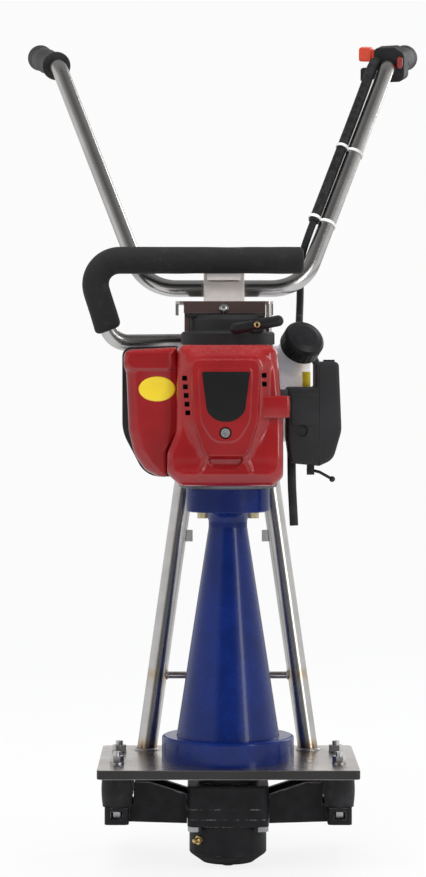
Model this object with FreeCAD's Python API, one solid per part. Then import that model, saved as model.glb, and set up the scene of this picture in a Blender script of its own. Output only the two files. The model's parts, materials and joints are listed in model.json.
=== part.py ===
"""Petrol drive unit for a vibrating concrete screed board, as an assembly of separate pieces.

Lengths are in millimetres. The model is drawn on the drive axis: X to the right, Y away from
the finished concrete and towards the operator, Z up, with Z = 0 at the foot of the drain plug.
Every piece is then moved so that the origin is the centre of the board bolts on the seat.
"""
import FreeCAD
import Part
import math
import os

from FreeCAD import Vector

# ---------------------------------------------------------------- driving dimensions
FREE = 0.4                 # gap between pieces that pass each other
RUNNING = 0.04             # radial clearance of turning shafts
BOLT_CLEARANCE = 0.25      # radial, round the shanks of bolts
FIT = 0.1                  # radial, round the exciter's spigot

# board clamp bracket
SEAT_Z = 46.0              # seat plane that lies on the board
BOARD_BOLT_X = 240.0       # spacing of the board bolts along the board
BOARD_BOLT_Y = 40.0        # spacing of the board bolts across the board
BOARD_HOLE_R = 5.5
BOARD_BOLTS_BACK = 98.0    # middle of the board bolts behind the drive axis
FOOT_WIDTH = 26.0
FOOT_THICK = 12.0
FOOT_CORNER = 5.0
SEAT_MARGIN = 14.0         # seat beyond the bolts, to the front and the back
BRACKET_PLATE_RISE = 14.0  # middle plate above the seat
BRACKET_PLATE_THICK = 11.0
BRACKET_RIB = 9.0
BRACKET_RIB_GAP = 58.0     # between the outer faces of the two long ribs
BRACKET_RIB_DROP = 12.0    # top of the ribs under the base plate
BRACKET_RIB_SLOPE = 22.0   # where the ribs reach their top, inside the feet
BRACKET_WEB = 8.0

# base plate on its rubber mounts
PLATE_X = 280.0
PLATE_Y = 194.0
PLATE_THICK = 10.0
PLATE_BACK = 7.0           # middle of the plate behind the drive axis
PLATE_CORNER = 6.0
PLATE_EDGE = 0.8
MOUNT_X = 240.0            # spacing of the rubber mounts
MOUNT_Y = 86.0
RUBBER_R = 15.6
RUBBER_BULGE = 1.2
RUBBER_HEIGHT = 36.0
RUBBER_RIM = 2.0
STUD_R = 4.0
STUD_HOLE_CLEARANCE = 0.4
NUT_FLATS = 13.0
NUT_HEIGHT = 6.5
LOW_NUT_HEIGHT = 6.0
WASHER_R = 8.0
WASHER_THICK = 1.6
STUD_TIP = 4.5
MOUNT_FLOOR = 4.0          # foot between the rubber and the nut's pocket
POCKET_RISE = 10.0         # roof of the nut's pocket above the middle plate's underside
POCKET_WINDOW = 12.0       # window in front of the nuts of the two front mounts

# exciter
POT_R = 42.0
POT_WALL = 8.0
POT_DEPTH = 42.0           # from the bracket plate to the pot's lower edge
CHIN_R = 28.0
CHIN_HEIGHT = 9.0
FLANGE_CORNER = 10.0
POT_FLANGE = 8.0
HEAD_HEIGHT = 25.0
HEAD_EDGE = 2.5
NECK_R = 32.5
NECK_HEIGHT = 9.0
SPIGOT_R = 31.0
EXCITER_BOLT_ROOM = 8.91   # bolts outside the pot's wall
FLANGE_MARGIN = 8.0        # flange beyond the bolts
EXCITER_BOLT_R = 4.0
EXCITER_BOLT_HEAD = 5.3
EXCITER_BOLT_FLATS = 13.0
EXCITER_BOLT_BITE = 15.0   # length of thread in the head
DRAIN_PLUG_R = 6.5
DRAIN_PLUG_HEIGHT = 5.0
NIPPLE_TURN = -137.0       # the nipple points to the front left
NIPPLE_RISE = 18.0
NIPPLE_THREAD_R = 3.0
NIPPLE_FLATS = 9.0
NIPPLE_BALL_R = 2.7
ROTOR_R = 29.0
ROTOR_LENGTH = 26.0
ROTOR_RISE = 4.0           # weight above the lower bearing
EXCITER_SHAFT_R = 10.0
EXCITER_BEARING_R = 21.0
EXCITER_BEARING_WIDTH = 9.0
LOWER_BEARING_DROP = 5.0   # lower bearing under the pot's lower edge
BEARING_SHOULDER = 3.0

# drive shaft, coupling and clutch
SHAFT_R = 7.5
COUPLING_R = 18.0
COUPLING_RISE = 4.0        # floor of the coupling's room above the bearing
COUPLING_ROOM = 6.0        # round the coupling in the head
COUPLING_PASS = 12.0       # round the coupling in the base plate
HUB_HEIGHT = 12.0
JAW_HEIGHT = 9.0
JAW_COUNT = 3
JAW_GAP = 20.0             # degrees between neighbouring jaws
SPIDER_CORE_R = 7.7
SHAFT_BEARING_R = 16.0
SHAFT_BEARING_WIDTH = 9.0
DRUM_R = 38.5
DRUM_WALL = 2.5
DRUM_HEIGHT = 22.0
DRUM_GAP = 1.6             # under the drum and round it, inside the flange
DRUM_SEAT = 3.0            # floor of the clutch room above the flange's underside
SHOE_CLEARANCE = 1.0
SHOE_RISE = 1.5
SHOE_HEIGHT = 14.0
SHOE_THICK = 9.0
SHOE_GAP = 6.0
ARM_WIDTH = 14.0
ARM_RISE = 3.0
ARM_HUB = 5.0

# cone housing
CONE_FLANGE_R = 72.0
CONE_FLANGE_HEIGHT = 26.0
CONE_FOOT_R = 56.0
CONE_TOP_R = 21.0
CONE_HEIGHT = 253.0        # from the plate to the top of the slope
CONE_NECK = 17.0           # from the top of the slope to the top flange
CONE_WALL = 5.0
TOP_FLANGE_R = 45.5
TOP_FLANGE_HEIGHT = 26.0
TOP_BOLT_COUNT = 4
TOP_BOLT_PCD = 78.0
TOP_BOLT_FLATS = 10.0
TOP_BOLT_HEAD = 6.0

# tube frame
FRAME_TUBE_R = 11.0
FRAME_TUBE_WALL = 1.5
FRAME_FOOT_X = 90.0
FRAME_FOOT_Y = 70.0
FRAME_TOP_X = 19.0
FRAME_TOP_Y = 128.0
TAB_RISE = 237.0           # small tabs on the inner side of the tubes, above the plate
TAB_REACH = 7.0
TAB_HEIGHT = 13.0
TAB_THICK = 3.0
BRACE_R = 4.0
BRACE_RISE = 82.0          # cross brace above the plate

# handlebar
BAR_R = 9.6
BAR_WALL = 1.5
HINGE_Y = 135.0
BAR_MIDDLE_X = -3.5
BAR_FOOT_X = 89.5          # half width where leg and bottom bar meet
BAR_BEND_R = 50.0
HANDLE_SPAN = 450.0        # between the ends of the grips
GRIP_SPLAY = 29.5          # grip end beyond the top of its leg
LEG_BACK = 149.0           # top of the legs behind the hinge
LEG_RISE = 267.0           # top of the legs above the hinge
GRIP_BACK = 112.0          # grip end behind the top of its leg
GRIP_RISE = 23.0
GRIP_BEND_R = 26.0
GRIP_R = 15.0
GRIP_FLANGE_R = 17.0
GRIP_WAIST = 0.8
GRIP_LENGTH = 104.0

# clamp block of the handlebar
BLOCK_X = 46.0
BLOCK_Y = 44.0
BLOCK_HALF = 23.0          # block above the hinge
HINGE_RISE = 17.0          # hinge above the bridge
CLAMP_SLOT = 2.0
CLAMP_BOLT_R = 3.0
CLAMP_BOLT_IN = 8.0        # screws inside the block's ends
CLAMP_BOLT_EDGE = 6.0
CLAMP_HEAD_R = 5.0
CLAMP_HEAD = 6.0
CLAMP_SOCKET = 5.0

# lifting handle
LIFT_TUBE_R = 9.5
LIFT_FRONT = 39.0          # lifting tube in front of the hinge
LIFT_RISE = 31.0           # and above it
LIFT_RIGHT_X = 84.0
LIFT_SIDE_X = -158.0
LIFT_BEND_R = 27.0
LIFT_RETURN_X = -129.0
LIFT_RETURN_BACK = 4.0
LIFT_RETURN_DROP = 93.0
LIFT_RETURN_R = 24.0
LIFT_END_DROP = 92.0
SADDLE_IN = 4.0
SADDLE_LOW = 14.0
SADDLE_HIGH = 4.0
FOAM_R = 15.2
FOAM_OVERHANG = 2.0
FOAM_TURN = 26.0           # degrees of the lower bend that the foam covers

# controls on the right grip, measured from the bend along the grip, inwards and up
RIGHT_GRIP_LENGTH = 68.0
HOUSING_START = 10.0
HOUSING_LENGTH = 32.0
PAD_SIZE = 17.0            # orange thumb pad of the throttle lever
PAD_DEPTH = 15.0
LATCH_PAD_SIZE = 16.0
LATCH_PAD_DEPTH = 13.0
LEVER_IN = 22.5            # inner face of both lever pads
LEVER_X = 15.0
LEVER_ALONG = 9.5
LEVER_HUB_R = 6.5
LEVER_PIN_R = 2.0
LEVER_HALF = 6.0
LATCH_HALF = 5.0
LEVER_ROOM = 0.6
LEVER_UP = 13.0
LATCH_UP = -11.5
PIN_OVER = 7.5
PIN_UNDER = 6.5
BUTTON_IN = -14.2
BUTTON_UP = 6.0
BUTTON_STEM_R = 1.6
BUTTON_THICK = 3.0
BUTTON_HALF = 3.2
BUTTON_TRAVEL = 2.5

# engine: crankcase, fan and cylinder
FAN_R = 54.0
FAN_HEIGHT = 40.0
FAN_WALL = 3.0
FAN_MOUTH = 64.0
FAN_SILL = 9.0
FLYWHEEL_R = 47.0
FLYWHEEL_DISC = 5.0
FLYWHEEL_RIM = 4.0
FLYWHEEL_HUB_R = 15.0
FLYWHEEL_GAP = 2.0         # over the floor of the housing
FLYWHEEL_HEADROOM = 4.0
VANE_COUNT = 14
VANE_THICK = 2.4
VANE_START = 18.0
VANE_LEAN = 24.0
CASE_R = 46.0
CASE_HEIGHT = 116.0
CASE_RING = 6.0
CASE_TOP_RING = 8.0
CASE_LIP = 3.0
CASE_FACE = 76.0           # square face that carries the cylinder
CASE_RIB = 4.0
CASE_RIB_REACH = 5.5
CASE_RIB_TURNS = (20, 55, 125, 160)
LUG_X = 22.0
LUG_SIZE = 10.0
LUG_HEIGHT = 12.0
LUG_RISE = 20.0
LUG_DROP = 32.0
CRANK_R = 9.0
CRANK_CHAMBER_R = 35.0
CRANK_CHAMBER_BELOW = 30.0
CRANK_CHAMBER_ABOVE = 32.0
CRANK_TIP = 8.0
WEB_GAP = 4.0
WEB_END = 2.0
WEB_THICK = 12.0
PIN_R = 8.0
CRANK_THROW = 14.0
CUP_R = 17.0
CUP_THICK = 4.0
CYLINDER_RISE = 56.0       # cylinder's axis above the fan housing
CYLINDER_FACE = -50.0
BARREL_R = 27.0
FIN_COUNT = 8
FIN_PITCH = 6.6
FIN_THICK = 2.2
FIN_SIDE = 82.0
FIN_CORNER = 7.0
FIN_START = 5.0
ROCKER_DEPTH = 9.0
ROCKER_X = 52.0
ROCKER_Z = 64.0
PORT_BACK = 30.0           # ports in front of the cylinder's face
PORT_HALF = 12.0
EXHAUST_HALF = 13.0
PORT_REACH = 4.0

# engine covers
COVER_GAP = 1.6            # between the rocker box and the cover's front wall
COVER_BACK = -44.0
COVER_WALL = 2.6
COVER_EDGE = 7.0
COVER_LEFT = -53.5
COVER_RIGHT = 57.5
COVER_ABOVE = 59.5         # top of the cover above the cylinder's axis
COVER_BELOW = 89.5
COVER_SKIRT = 11.5         # swelling of the lower left side
PANEL_RISE = 4.0
PANEL_LEFT = -38.0
PANEL_RIGHT = 33.0
PANEL_ABOVE = 44.0
PANEL_BELOW = 53.0
PANEL_TAPER = 6.0
PANEL_ROUND = 11.0
BADGE_DEPTH = 0.8
BADGE_PROUD = 0.3
BADGE_GAP = 0.25
BADGE_LEFT = -28.6
BADGE_RIGHT = 22.6
BADGE_ABOVE = 31.5
BADGE_BELOW = 21.5
BADGE_TAPER = 5.6
BADGE_ROUND = 12.0
VENT_SIDE = 4.6
VENT_PITCH = 9.6
VENT_LEAN = 0.9
LEFT_VENT_COUNT = 5
LEFT_VENT_X = -44.0
LEFT_VENT_RISE = 23.5      # first vent above the cylinder's axis
RIGHT_VENT_COUNT = 2
RIGHT_VENT_X = 39.0
RIGHT_VENT_RISE = 26.0
SCOOP_LEFT = -24.0
SCOOP_RIGHT = 18.0
SCOOP_TAPER = 8.0
SCOOP_TOP = 59.0
SCOOP_LOW = 77.0
SCOOP_DEPTH = 1.8
TAB_OUT = 7.5              # plug tab beyond the cover's right side
TAB_LOW = 19.0
TAB_HIGH = 6.0
TAB_FRONT = 4.0
TAB_DEEP = 14.0
COVER_SCREW_X = -3.5
COVER_SCREW_BELOW = 33.0
COVER_SCREW_R = 4.8
COVER_SCREW_ROOM = 1.6
MUFFLER_FRONT = -96.0
MUFFLER_BACK = -14.0
MUFFLER_WALL = 2.4
MUFFLER_EDGE = 6.0
MUFFLER_LEFT = -112.5
MUFFLER_GAP = 0.7          # between the two red covers
MUFFLER_ABOVE = 56.5
MUFFLER_BELOW = 81.0
MUFFLER_SWEEP = 24.5
MUFFLER_TURN = 47.0
GUARD_DEPTH = 8.0
GUARD_PROUD = 2.2
GUARD_FLOOR = 2.5
GUARD_SLOT_COUNT = 7
GUARD_SLOT_PITCH = 13.0
GUARD_SLOT = 5.0
CAN_FRONT = -82.0
CAN_BACK = -28.0
CAN_IN = 8.5               # can inside the muffler cover
CAN_LOW_LEFT = 30.0
CAN_LOW_RIGHT = 44.0
CAN_EDGE = 5.0
SEAM_HALF = 1.5
SEAM_PROUD = 1.2
PIPE_R = 11.0
PIPE_ROOM = 1.5
OUTLET_R = 6.0
OUTLET_WALL = 1.5
OUTLET_LENGTH = 12.0

# air cleaner and carburettor
AIR_FRONT = -70.0
AIR_BACK = 10.0
AIR_SPLIT_X = 97.0
AIR_WALL = 2.2
AIR_LEFT = 62.5
AIR_NECK_X = 93.0
AIR_RIGHT = 118.0
AIR_BULGE = 3.0
AIR_ABOVE = 41.5           # top above the cylinder's axis
AIR_STEP = 14.0
AIR_BELOW = 65.0
AIR_EDGE = 4.0
AIR_PANEL_IN = 5.5
AIR_PANEL_PROUD = 1.4
FILTER_LEFT = 84.0
FILTER_WALL = 6.0
FILTER_BELOW = 50.0
FILTER_ABOVE = 8.0
LATCH_WIDTH = 12.0
LATCH_X = 109.0
LATCH_RISE = 2.0
CHOKE_X = 88.0
CHOKE_Y = -53.0
CHOKE_DROP = 9.5
CHOKE_PIN_R = 2.0
CHOKE_ROD_R = 1.6
CHOKE_KNOB_R = 3.2
CHOKE_KNOB = (23.5, 0.0, -10.0)   # from the pivot
CARB_HALF = 13.0
CARB_BACK = 15.0
CARB_BOWL = 15.0
CARB_TOP = 12.0

# fuel tank
TANK_GAP = 3.0             # between the crankcase's lip and the tank's front
TANK_DEPTH = 41.0
TANK_LEFT = -58.0
TANK_RIGHT = 92.0
TANK_RISE = 8.0            # above the fan housing
TANK_HEIGHT = 107.0
TANK_WALL = 2.5
TANK_EDGE = 9.0
NECK_IN = 19.0             # filler neck inside the tank's right side
NECK_BACK = 6.0
NECK_DROP = 12.5
NECK_DIRECTION = (0.32, -0.76, 0.55)
NECK_LENGTH = 36.0
SWELL_R = 22.0
SWELL_LENGTH = 26.0
SWELL_SUNK = 6.0
FUEL_NECK_R = 18.0
NECK_STEP = 3.0
FUEL_CAP_R = 23.0
FUEL_CAP_HEIGHT = 20.0
FUEL_CAP_RIBS = 24
FITTING_IN = 5.0
FITTING_OUT = 13.0
FITTING_DROP = 45.0
FITTING_HEIGHT = 16.0

# recoil starter
RECOIL_RING_R = 51.0
RECOIL_RING_HEIGHT = 14.0
RECOIL_R = 42.0
RECOIL_HEIGHT = 32.0
RECOIL_WALL = 2.5
RECOIL_SLOTS = 16
RECOIL_SLOT = 3.2
RECOIL_SLOT_START = 12.0
ROPE_RISE = 21.0           # rope above the crankcase
ROPE_R = 2.0
ROPE_ROOM = 0.6
REEL_GROOVE_R = 28.3
REEL_R = 36.0
REEL_THICK = 13.0
REEL_FLANGE = 2.5
REEL_POST_R = 6.0
REEL_HOLE_R = 6.0
REEL_HOLE_PLACE = 17.0
GRIP_BAR_OUT = 13.0        # pull bar in front of the recoil's ring
GRIP_BAR_R = 6.0
GRIP_BAR_LENGTH = 58.0
GRIP_BAR_TILT = 10.5
GRIP_BOSS_R = 7.5
GRIP_BOSS_BACK = 7.0       # back of the pull bar's swelling behind the bar's axis
BRIDGE_GAP = 12.0          # bridge over the starter
BRIDGE_THICK = 3.0
BRIDGE_LEFT = -57.0
BRIDGE_RIGHT = 49.0
BRIDGE_FRONT = -22.0
BRIDGE_SHOULDER = 42.0
BRIDGE_BACK_HALF = 37.0
BRIDGE_SIDE = 12.0
BRIDGE_LIP = 10.0          # turned-down front edge
BRIDGE_LIP_IN = 9.0
BRIDGE_SIDE_IN = 6.0
BRIDGE_POST_R = 3.0
BRIDGE_POST_TURNS = (-160, -20, 35, 145)

# conduit and hose
CONDUIT_R = 6.2
CABLE_R = 4.2
CONDUIT_OFFSET = 16.2      # between the axes of conduit and handlebar leg
CABLE_END = (72.0, 24.0, 508.0)
BRACKET_EYE = 8.0
TIE_WIDTH = 3.5
TIE_THICK = 1.2
TIE_RISES = (73.0, 158.0)  # above the hinge
CONDUIT_LEG_TOP = 222.0    # where the conduit joins the leg, above the hinge
CONDUIT_LEG_LOW = 70.0     # where it leaves the leg, above the hinge
LOOP_FROM_HINGE = ((0.0, 32.0, 38.0), (-1.5, 31.0, 14.0), (-2.0, 17.0, -12.0), (-3.5, -1.0, -33.0))
FALL_FROM_END = ((21.0, 77.0, 58.0), (31.0, 56.0, 37.0), (31.0, 26.0, 20.0), (26.0, 0.0, 0.0))
HOSE_TOP = 455.0
HOSE_R = 4.7
FUEL_HOSE_R = 4.6


# ---------------------------------------------------------------- shape helpers
def cyl(radius, height, x=0.0, y=0.0, z=0.0, direction=(0, 0, 1)):
    """Cylinder with the centre of its first face at x, y, z."""
    return Part.makeCylinder(radius, height, Vector(x, y, z), Vector(*direction))


def ring(outer, inner, height, x=0.0, y=0.0, z=0.0, direction=(0, 0, 1)):
    """Plain ring with the centre of its first face at x, y, z."""
    return cyl(outer, height, x, y, z, direction).cut(cyl(inner, height, x, y, z, direction))


def block(low, high):
    """Box between two opposite corners."""
    size = [b - a for a, b in zip(low, high)]
    return Part.makeBox(size[0], size[1], size[2], Vector(*low))


def revolve(profile, angle=360.0):
    """Turn a closed outline of (radius, height) points about the drive axis."""
    points = [Vector(r, 0, z) for r, z in profile]
    face = Part.Face(Part.makePolygon(points + points[:1]))
    return face.revolve(Vector(0, 0, 0), Vector(0, 0, 1), angle)


def round_corners(points, radii, closed=True):
    """Wire through the points, with an arc of the given radius at each corner."""
    count = len(points)
    starts, ends, mids = [], [], []
    for i, (corner, radius) in enumerate(zip(points, radii)):
        if radius == 0 or (not closed and i in (0, count - 1)):
            starts.append(corner)
            ends.append(corner)
            mids.append(None)
            continue
        back = (points[i - 1] - corner).normalize()
        ahead = (points[(i + 1) % count] - corner).normalize()
        half = back.getAngle(ahead) / 2
        reach = radius / math.tan(half)
        middle = (back + ahead).normalize()
        starts.append(corner + back * reach)
        ends.append(corner + ahead * reach)
        mids.append(corner + middle * (radius / math.sin(half) - radius))
    edges = []
    for i in range(count):
        if mids[i] is not None:
            edges.append(Part.Arc(starts[i], mids[i], ends[i]).toShape())
        if i < count - 1 or closed:
            here, there = ends[i], starts[(i + 1) % count]
            if here.distanceToPoint(there) > 1e-4:
                edges.append(Part.LineSegment(here, there).toShape())
    return Part.Wire(edges)


def front_outline(outline, y):
    """Closed wire in the plane y, from (x, z, corner radius) points."""
    points = [Vector(x, y, z) for x, z, _ in outline]
    return round_corners(points, [r for _, _, r in outline])


def front_prism(outline, front, back, grow=0.0):
    """Solid between two planes of constant y, from an outline seen from the front."""
    wire = front_outline(outline, front)
    if grow:
        wire = wire.makeOffset2D(grow)
    return Part.Face(wire).extrude(Vector(0, back - front, 0))


def plan_prism(outline, low, high):
    """Solid between two heights, from an outline of (x, y, corner radius) points."""
    points = [Vector(x, y, low) for x, y, _ in outline]
    wire = round_corners(points, [r for _, _, r in outline])
    return Part.Face(wire).extrude(Vector(0, 0, high - low))


def rectangle(x0, x1, y0, y1, radius):
    """Outline of a rectangle with equal round corners."""
    return [(x0, y0, radius), (x1, y0, radius), (x1, y1, radius), (x0, y1, radius)]


def square(half):
    """Outline of the exciter's square flange, seen from above."""
    return rectangle(-half, half, -half, half, FLANGE_CORNER)


def around(left, right, low, high, radius):
    """Outline of an upright rectangle with equal round corners, seen from the front."""
    return [(left, high, radius), (right, high, radius), (right, low, radius), (left, low, radius)]


def fillet_where(shape, radius, test):
    """Round the edges whose middle point passes the test."""
    chosen = [e for e in shape.Edges if test(e.BoundBox.Center, e)]
    return shape.makeFillet(radius, chosen)


def bent_rod(points, radii, radius):
    """Round rod along straight runs joined by tangent arcs."""
    wire = round_corners(points, radii, closed=False)
    start = points[0]
    along = (points[1] - points[0]).normalize()
    section = Part.Wire(Part.makeCircle(radius, start, along))
    return wire.makePipeShell([section], True, False)


def bent_tube(points, radii, radius, wall):
    """Round tube, open at both ends."""
    return bent_rod(points, radii, radius).cut(bent_rod(points, radii, radius - wall))


def hexagon(flats, height, x, y, z, direction=(0, 0, 1)):
    """Hexagonal prism, such as a nut or a bolt head."""
    corner = flats / math.sqrt(3)
    base = Part.makePolygon([
        Vector(corner * math.cos(math.radians(60 * i)), corner * math.sin(math.radians(60 * i)), 0)
        for i in range(7)
    ])
    prism = Part.Face(base).extrude(Vector(0, 0, height))
    prism.Placement = FreeCAD.Placement(
        Vector(x, y, z), FreeCAD.Rotation(Vector(0, 0, 1), Vector(*direction)))
    return prism


def hex_bolt(radius, flats, head, shank, x, y, z, direction):
    """Bolt whose head sits at x, y, z and whose shank runs along the direction."""
    back = [-c for c in direction]
    return hexagon(flats, head, x, y, z, back).fuse(cyl(radius, shank, x, y, z, direction))


def fuse_all(shapes):
    """One solid from several that meet."""
    first, rest = shapes[0], shapes[1:]
    return first.fuse(rest).removeSplitter() if rest else first


# ---------------------------------------------------------------- places worked out from the sizes
BRACKET_PLATE_LOW = SEAT_Z + BRACKET_PLATE_RISE
HEAD_LOW = BRACKET_PLATE_LOW + BRACKET_PLATE_THICK
HEAD_TOP = HEAD_LOW + HEAD_HEIGHT
POCKET_TOP = BRACKET_PLATE_LOW + POCKET_RISE
RUBBER_LOW = POCKET_TOP + MOUNT_FLOOR
PLATE_LOW = RUBBER_LOW + RUBBER_HEIGHT
PLATE_TOP = PLATE_LOW + PLATE_THICK
MOUNTS_XY = [(sx * MOUNT_X / 2, PLATE_BACK + sy * MOUNT_Y / 2) for sy in (-1, 1) for sx in (-1, 1)]
BOARD_BOLTS_XY = [(sx * BOARD_BOLT_X / 2, BOARD_BOLTS_BACK + sy * BOARD_BOLT_Y / 2)
                  for sx in (-1, 1) for sy in (-1, 1)]
BOLT_PLACE = (POT_R + EXCITER_BOLT_ROOM) / math.sqrt(2)
EXCITER_BOLTS_XY = [(sx * BOLT_PLACE, sy * BOLT_PLACE) for sx in (-1, 1) for sy in (-1, 1)]
FLANGE_HALF = BOLT_PLACE + FLANGE_MARGIN
POT_LOW = BRACKET_PLATE_LOW - POT_DEPTH
CHIN_LOW = POT_LOW - CHIN_HEIGHT
UPPER_BEARING_LOW = HEAD_LOW - EXCITER_BEARING_WIDTH
LOWER_BEARING_LOW = POT_LOW - LOWER_BEARING_DROP
ROTOR_LOW = LOWER_BEARING_LOW + EXCITER_BEARING_WIDTH + ROTOR_RISE
COUPLING_LOW = HEAD_LOW + COUPLING_RISE + FREE
SPIDER_LOW = COUPLING_LOW + HUB_HEIGHT
UPPER_HUB_TOP = SPIDER_LOW + JAW_HEIGHT + FREE + HUB_HEIGHT

CONE_TOP_Z = PLATE_TOP + CONE_HEIGHT
SHAFT_BEARING_LOW = CONE_TOP_Z - 2.0
TOP_FLANGE_LOW = CONE_TOP_Z + CONE_NECK
TOP_FLANGE_TOP = TOP_FLANGE_LOW + TOP_FLANGE_HEIGHT
CLUTCH_FLOOR = TOP_FLANGE_LOW + DRUM_SEAT
DRUM_LOW = CLUTCH_FLOOR + DRUM_GAP
SHOE_R = DRUM_R - DRUM_WALL - SHOE_CLEARANCE
SHOE_LOW = DRUM_LOW + DRUM_WALL + SHOE_RISE

FAN_TOP = TOP_FLANGE_TOP + FAN_HEIGHT
CASE_TOP = FAN_TOP + CASE_HEIGHT
CYLINDER_Z = FAN_TOP + CYLINDER_RISE
CRANK_CHAMBER_LOW = CYLINDER_Z - CRANK_CHAMBER_BELOW
CRANK_CHAMBER_TOP = CYLINDER_Z + CRANK_CHAMBER_ABOVE
CRANK_TOP = CASE_TOP + CRANK_TIP
CYLINDER_END = CYLINDER_FACE - FIN_COUNT * FIN_PITCH - FIN_THICK - 1.8
PORT_Y = CYLINDER_FACE - PORT_BACK
COVER_FRONT = CYLINDER_END - ROCKER_DEPTH - COVER_GAP - COVER_WALL
PANEL_FRONT = COVER_FRONT - PANEL_RISE
COVER_SCREW_Z = CYLINDER_Z - COVER_SCREW_BELOW
MUFFLER_RIGHT = COVER_LEFT - MUFFLER_GAP
INTAKE_X = FIN_SIDE / 2 + PORT_REACH
AIR_HINGE_Z = CYLINDER_Z - AIR_BELOW
CHOKE_PIVOT = (CHOKE_X, CHOKE_Y, AIR_HINGE_Z - CHOKE_DROP)
TANK_FRONT = CASE_R + TANK_GAP
TANK_BACK = TANK_FRONT + TANK_DEPTH
TANK_LOW = FAN_TOP + TANK_RISE
TANK_TOP = TANK_LOW + TANK_HEIGHT
RECOIL_RING_TOP = CASE_TOP + RECOIL_RING_HEIGHT
RECOIL_TOP = CASE_TOP + RECOIL_HEIGHT
ROPE_Z = CASE_TOP + ROPE_RISE
ROPE_X = REEL_GROOVE_R + ROPE_R + 0.2
GRIP_BAR_Y = -RECOIL_RING_R - GRIP_BAR_OUT

BRIDGE_Z = RECOIL_TOP + BRIDGE_GAP
BLOCK_LOW = BRIDGE_Z + BRIDGE_THICK
HINGE_Z = BLOCK_LOW + HINGE_RISE
BLOCK_TOP = HINGE_Z + BLOCK_HALF
BLOCK_LEFT = BAR_MIDDLE_X - BLOCK_X / 2
BLOCK_RIGHT = BAR_MIDDLE_X + BLOCK_X / 2
BLOCK_FRONT = HINGE_Y - BLOCK_Y / 2
BLOCK_BACK = HINGE_Y + BLOCK_Y / 2
CLAMP_BOLT_Y = BLOCK_BACK - CLAMP_BOLT_EDGE
CLAMP_BOLT_XS = (BLOCK_LEFT + CLAMP_BOLT_IN, BLOCK_RIGHT - CLAMP_BOLT_IN)
FRAME_FOOT = Vector(FRAME_FOOT_X, FRAME_FOOT_Y, PLATE_TOP)
FRAME_TOP = Vector(FRAME_TOP_X, FRAME_TOP_Y, BRIDGE_Z + 12.0)
TAB_Z = PLATE_TOP + TAB_RISE
BRACE_Z = PLATE_TOP + BRACE_RISE
LIFT_Y = HINGE_Y - LIFT_FRONT
LIFT_TOP_Z = HINGE_Z + LIFT_RISE
LEG_TOP_Y = HINGE_Y + LEG_BACK
LEG_TOP_Z = HINGE_Z + LEG_RISE
GRIP_END_X = HANDLE_SPAN / 2
GRIP_END_Y = LEG_TOP_Y + GRIP_BACK
GRIP_END_Z = LEG_TOP_Z + GRIP_RISE
LEG_TOP_X = GRIP_END_X - GRIP_SPLAY
LEVER_Z = HOUSING_START + LEVER_ALONG
HOSE_POINTS = [(68.6, -26.0, HOSE_TOP), (68.8, -26.4, 424.0), (70.2, -25.6, 399.0), (71.4, -26.0, 376.0)]


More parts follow.
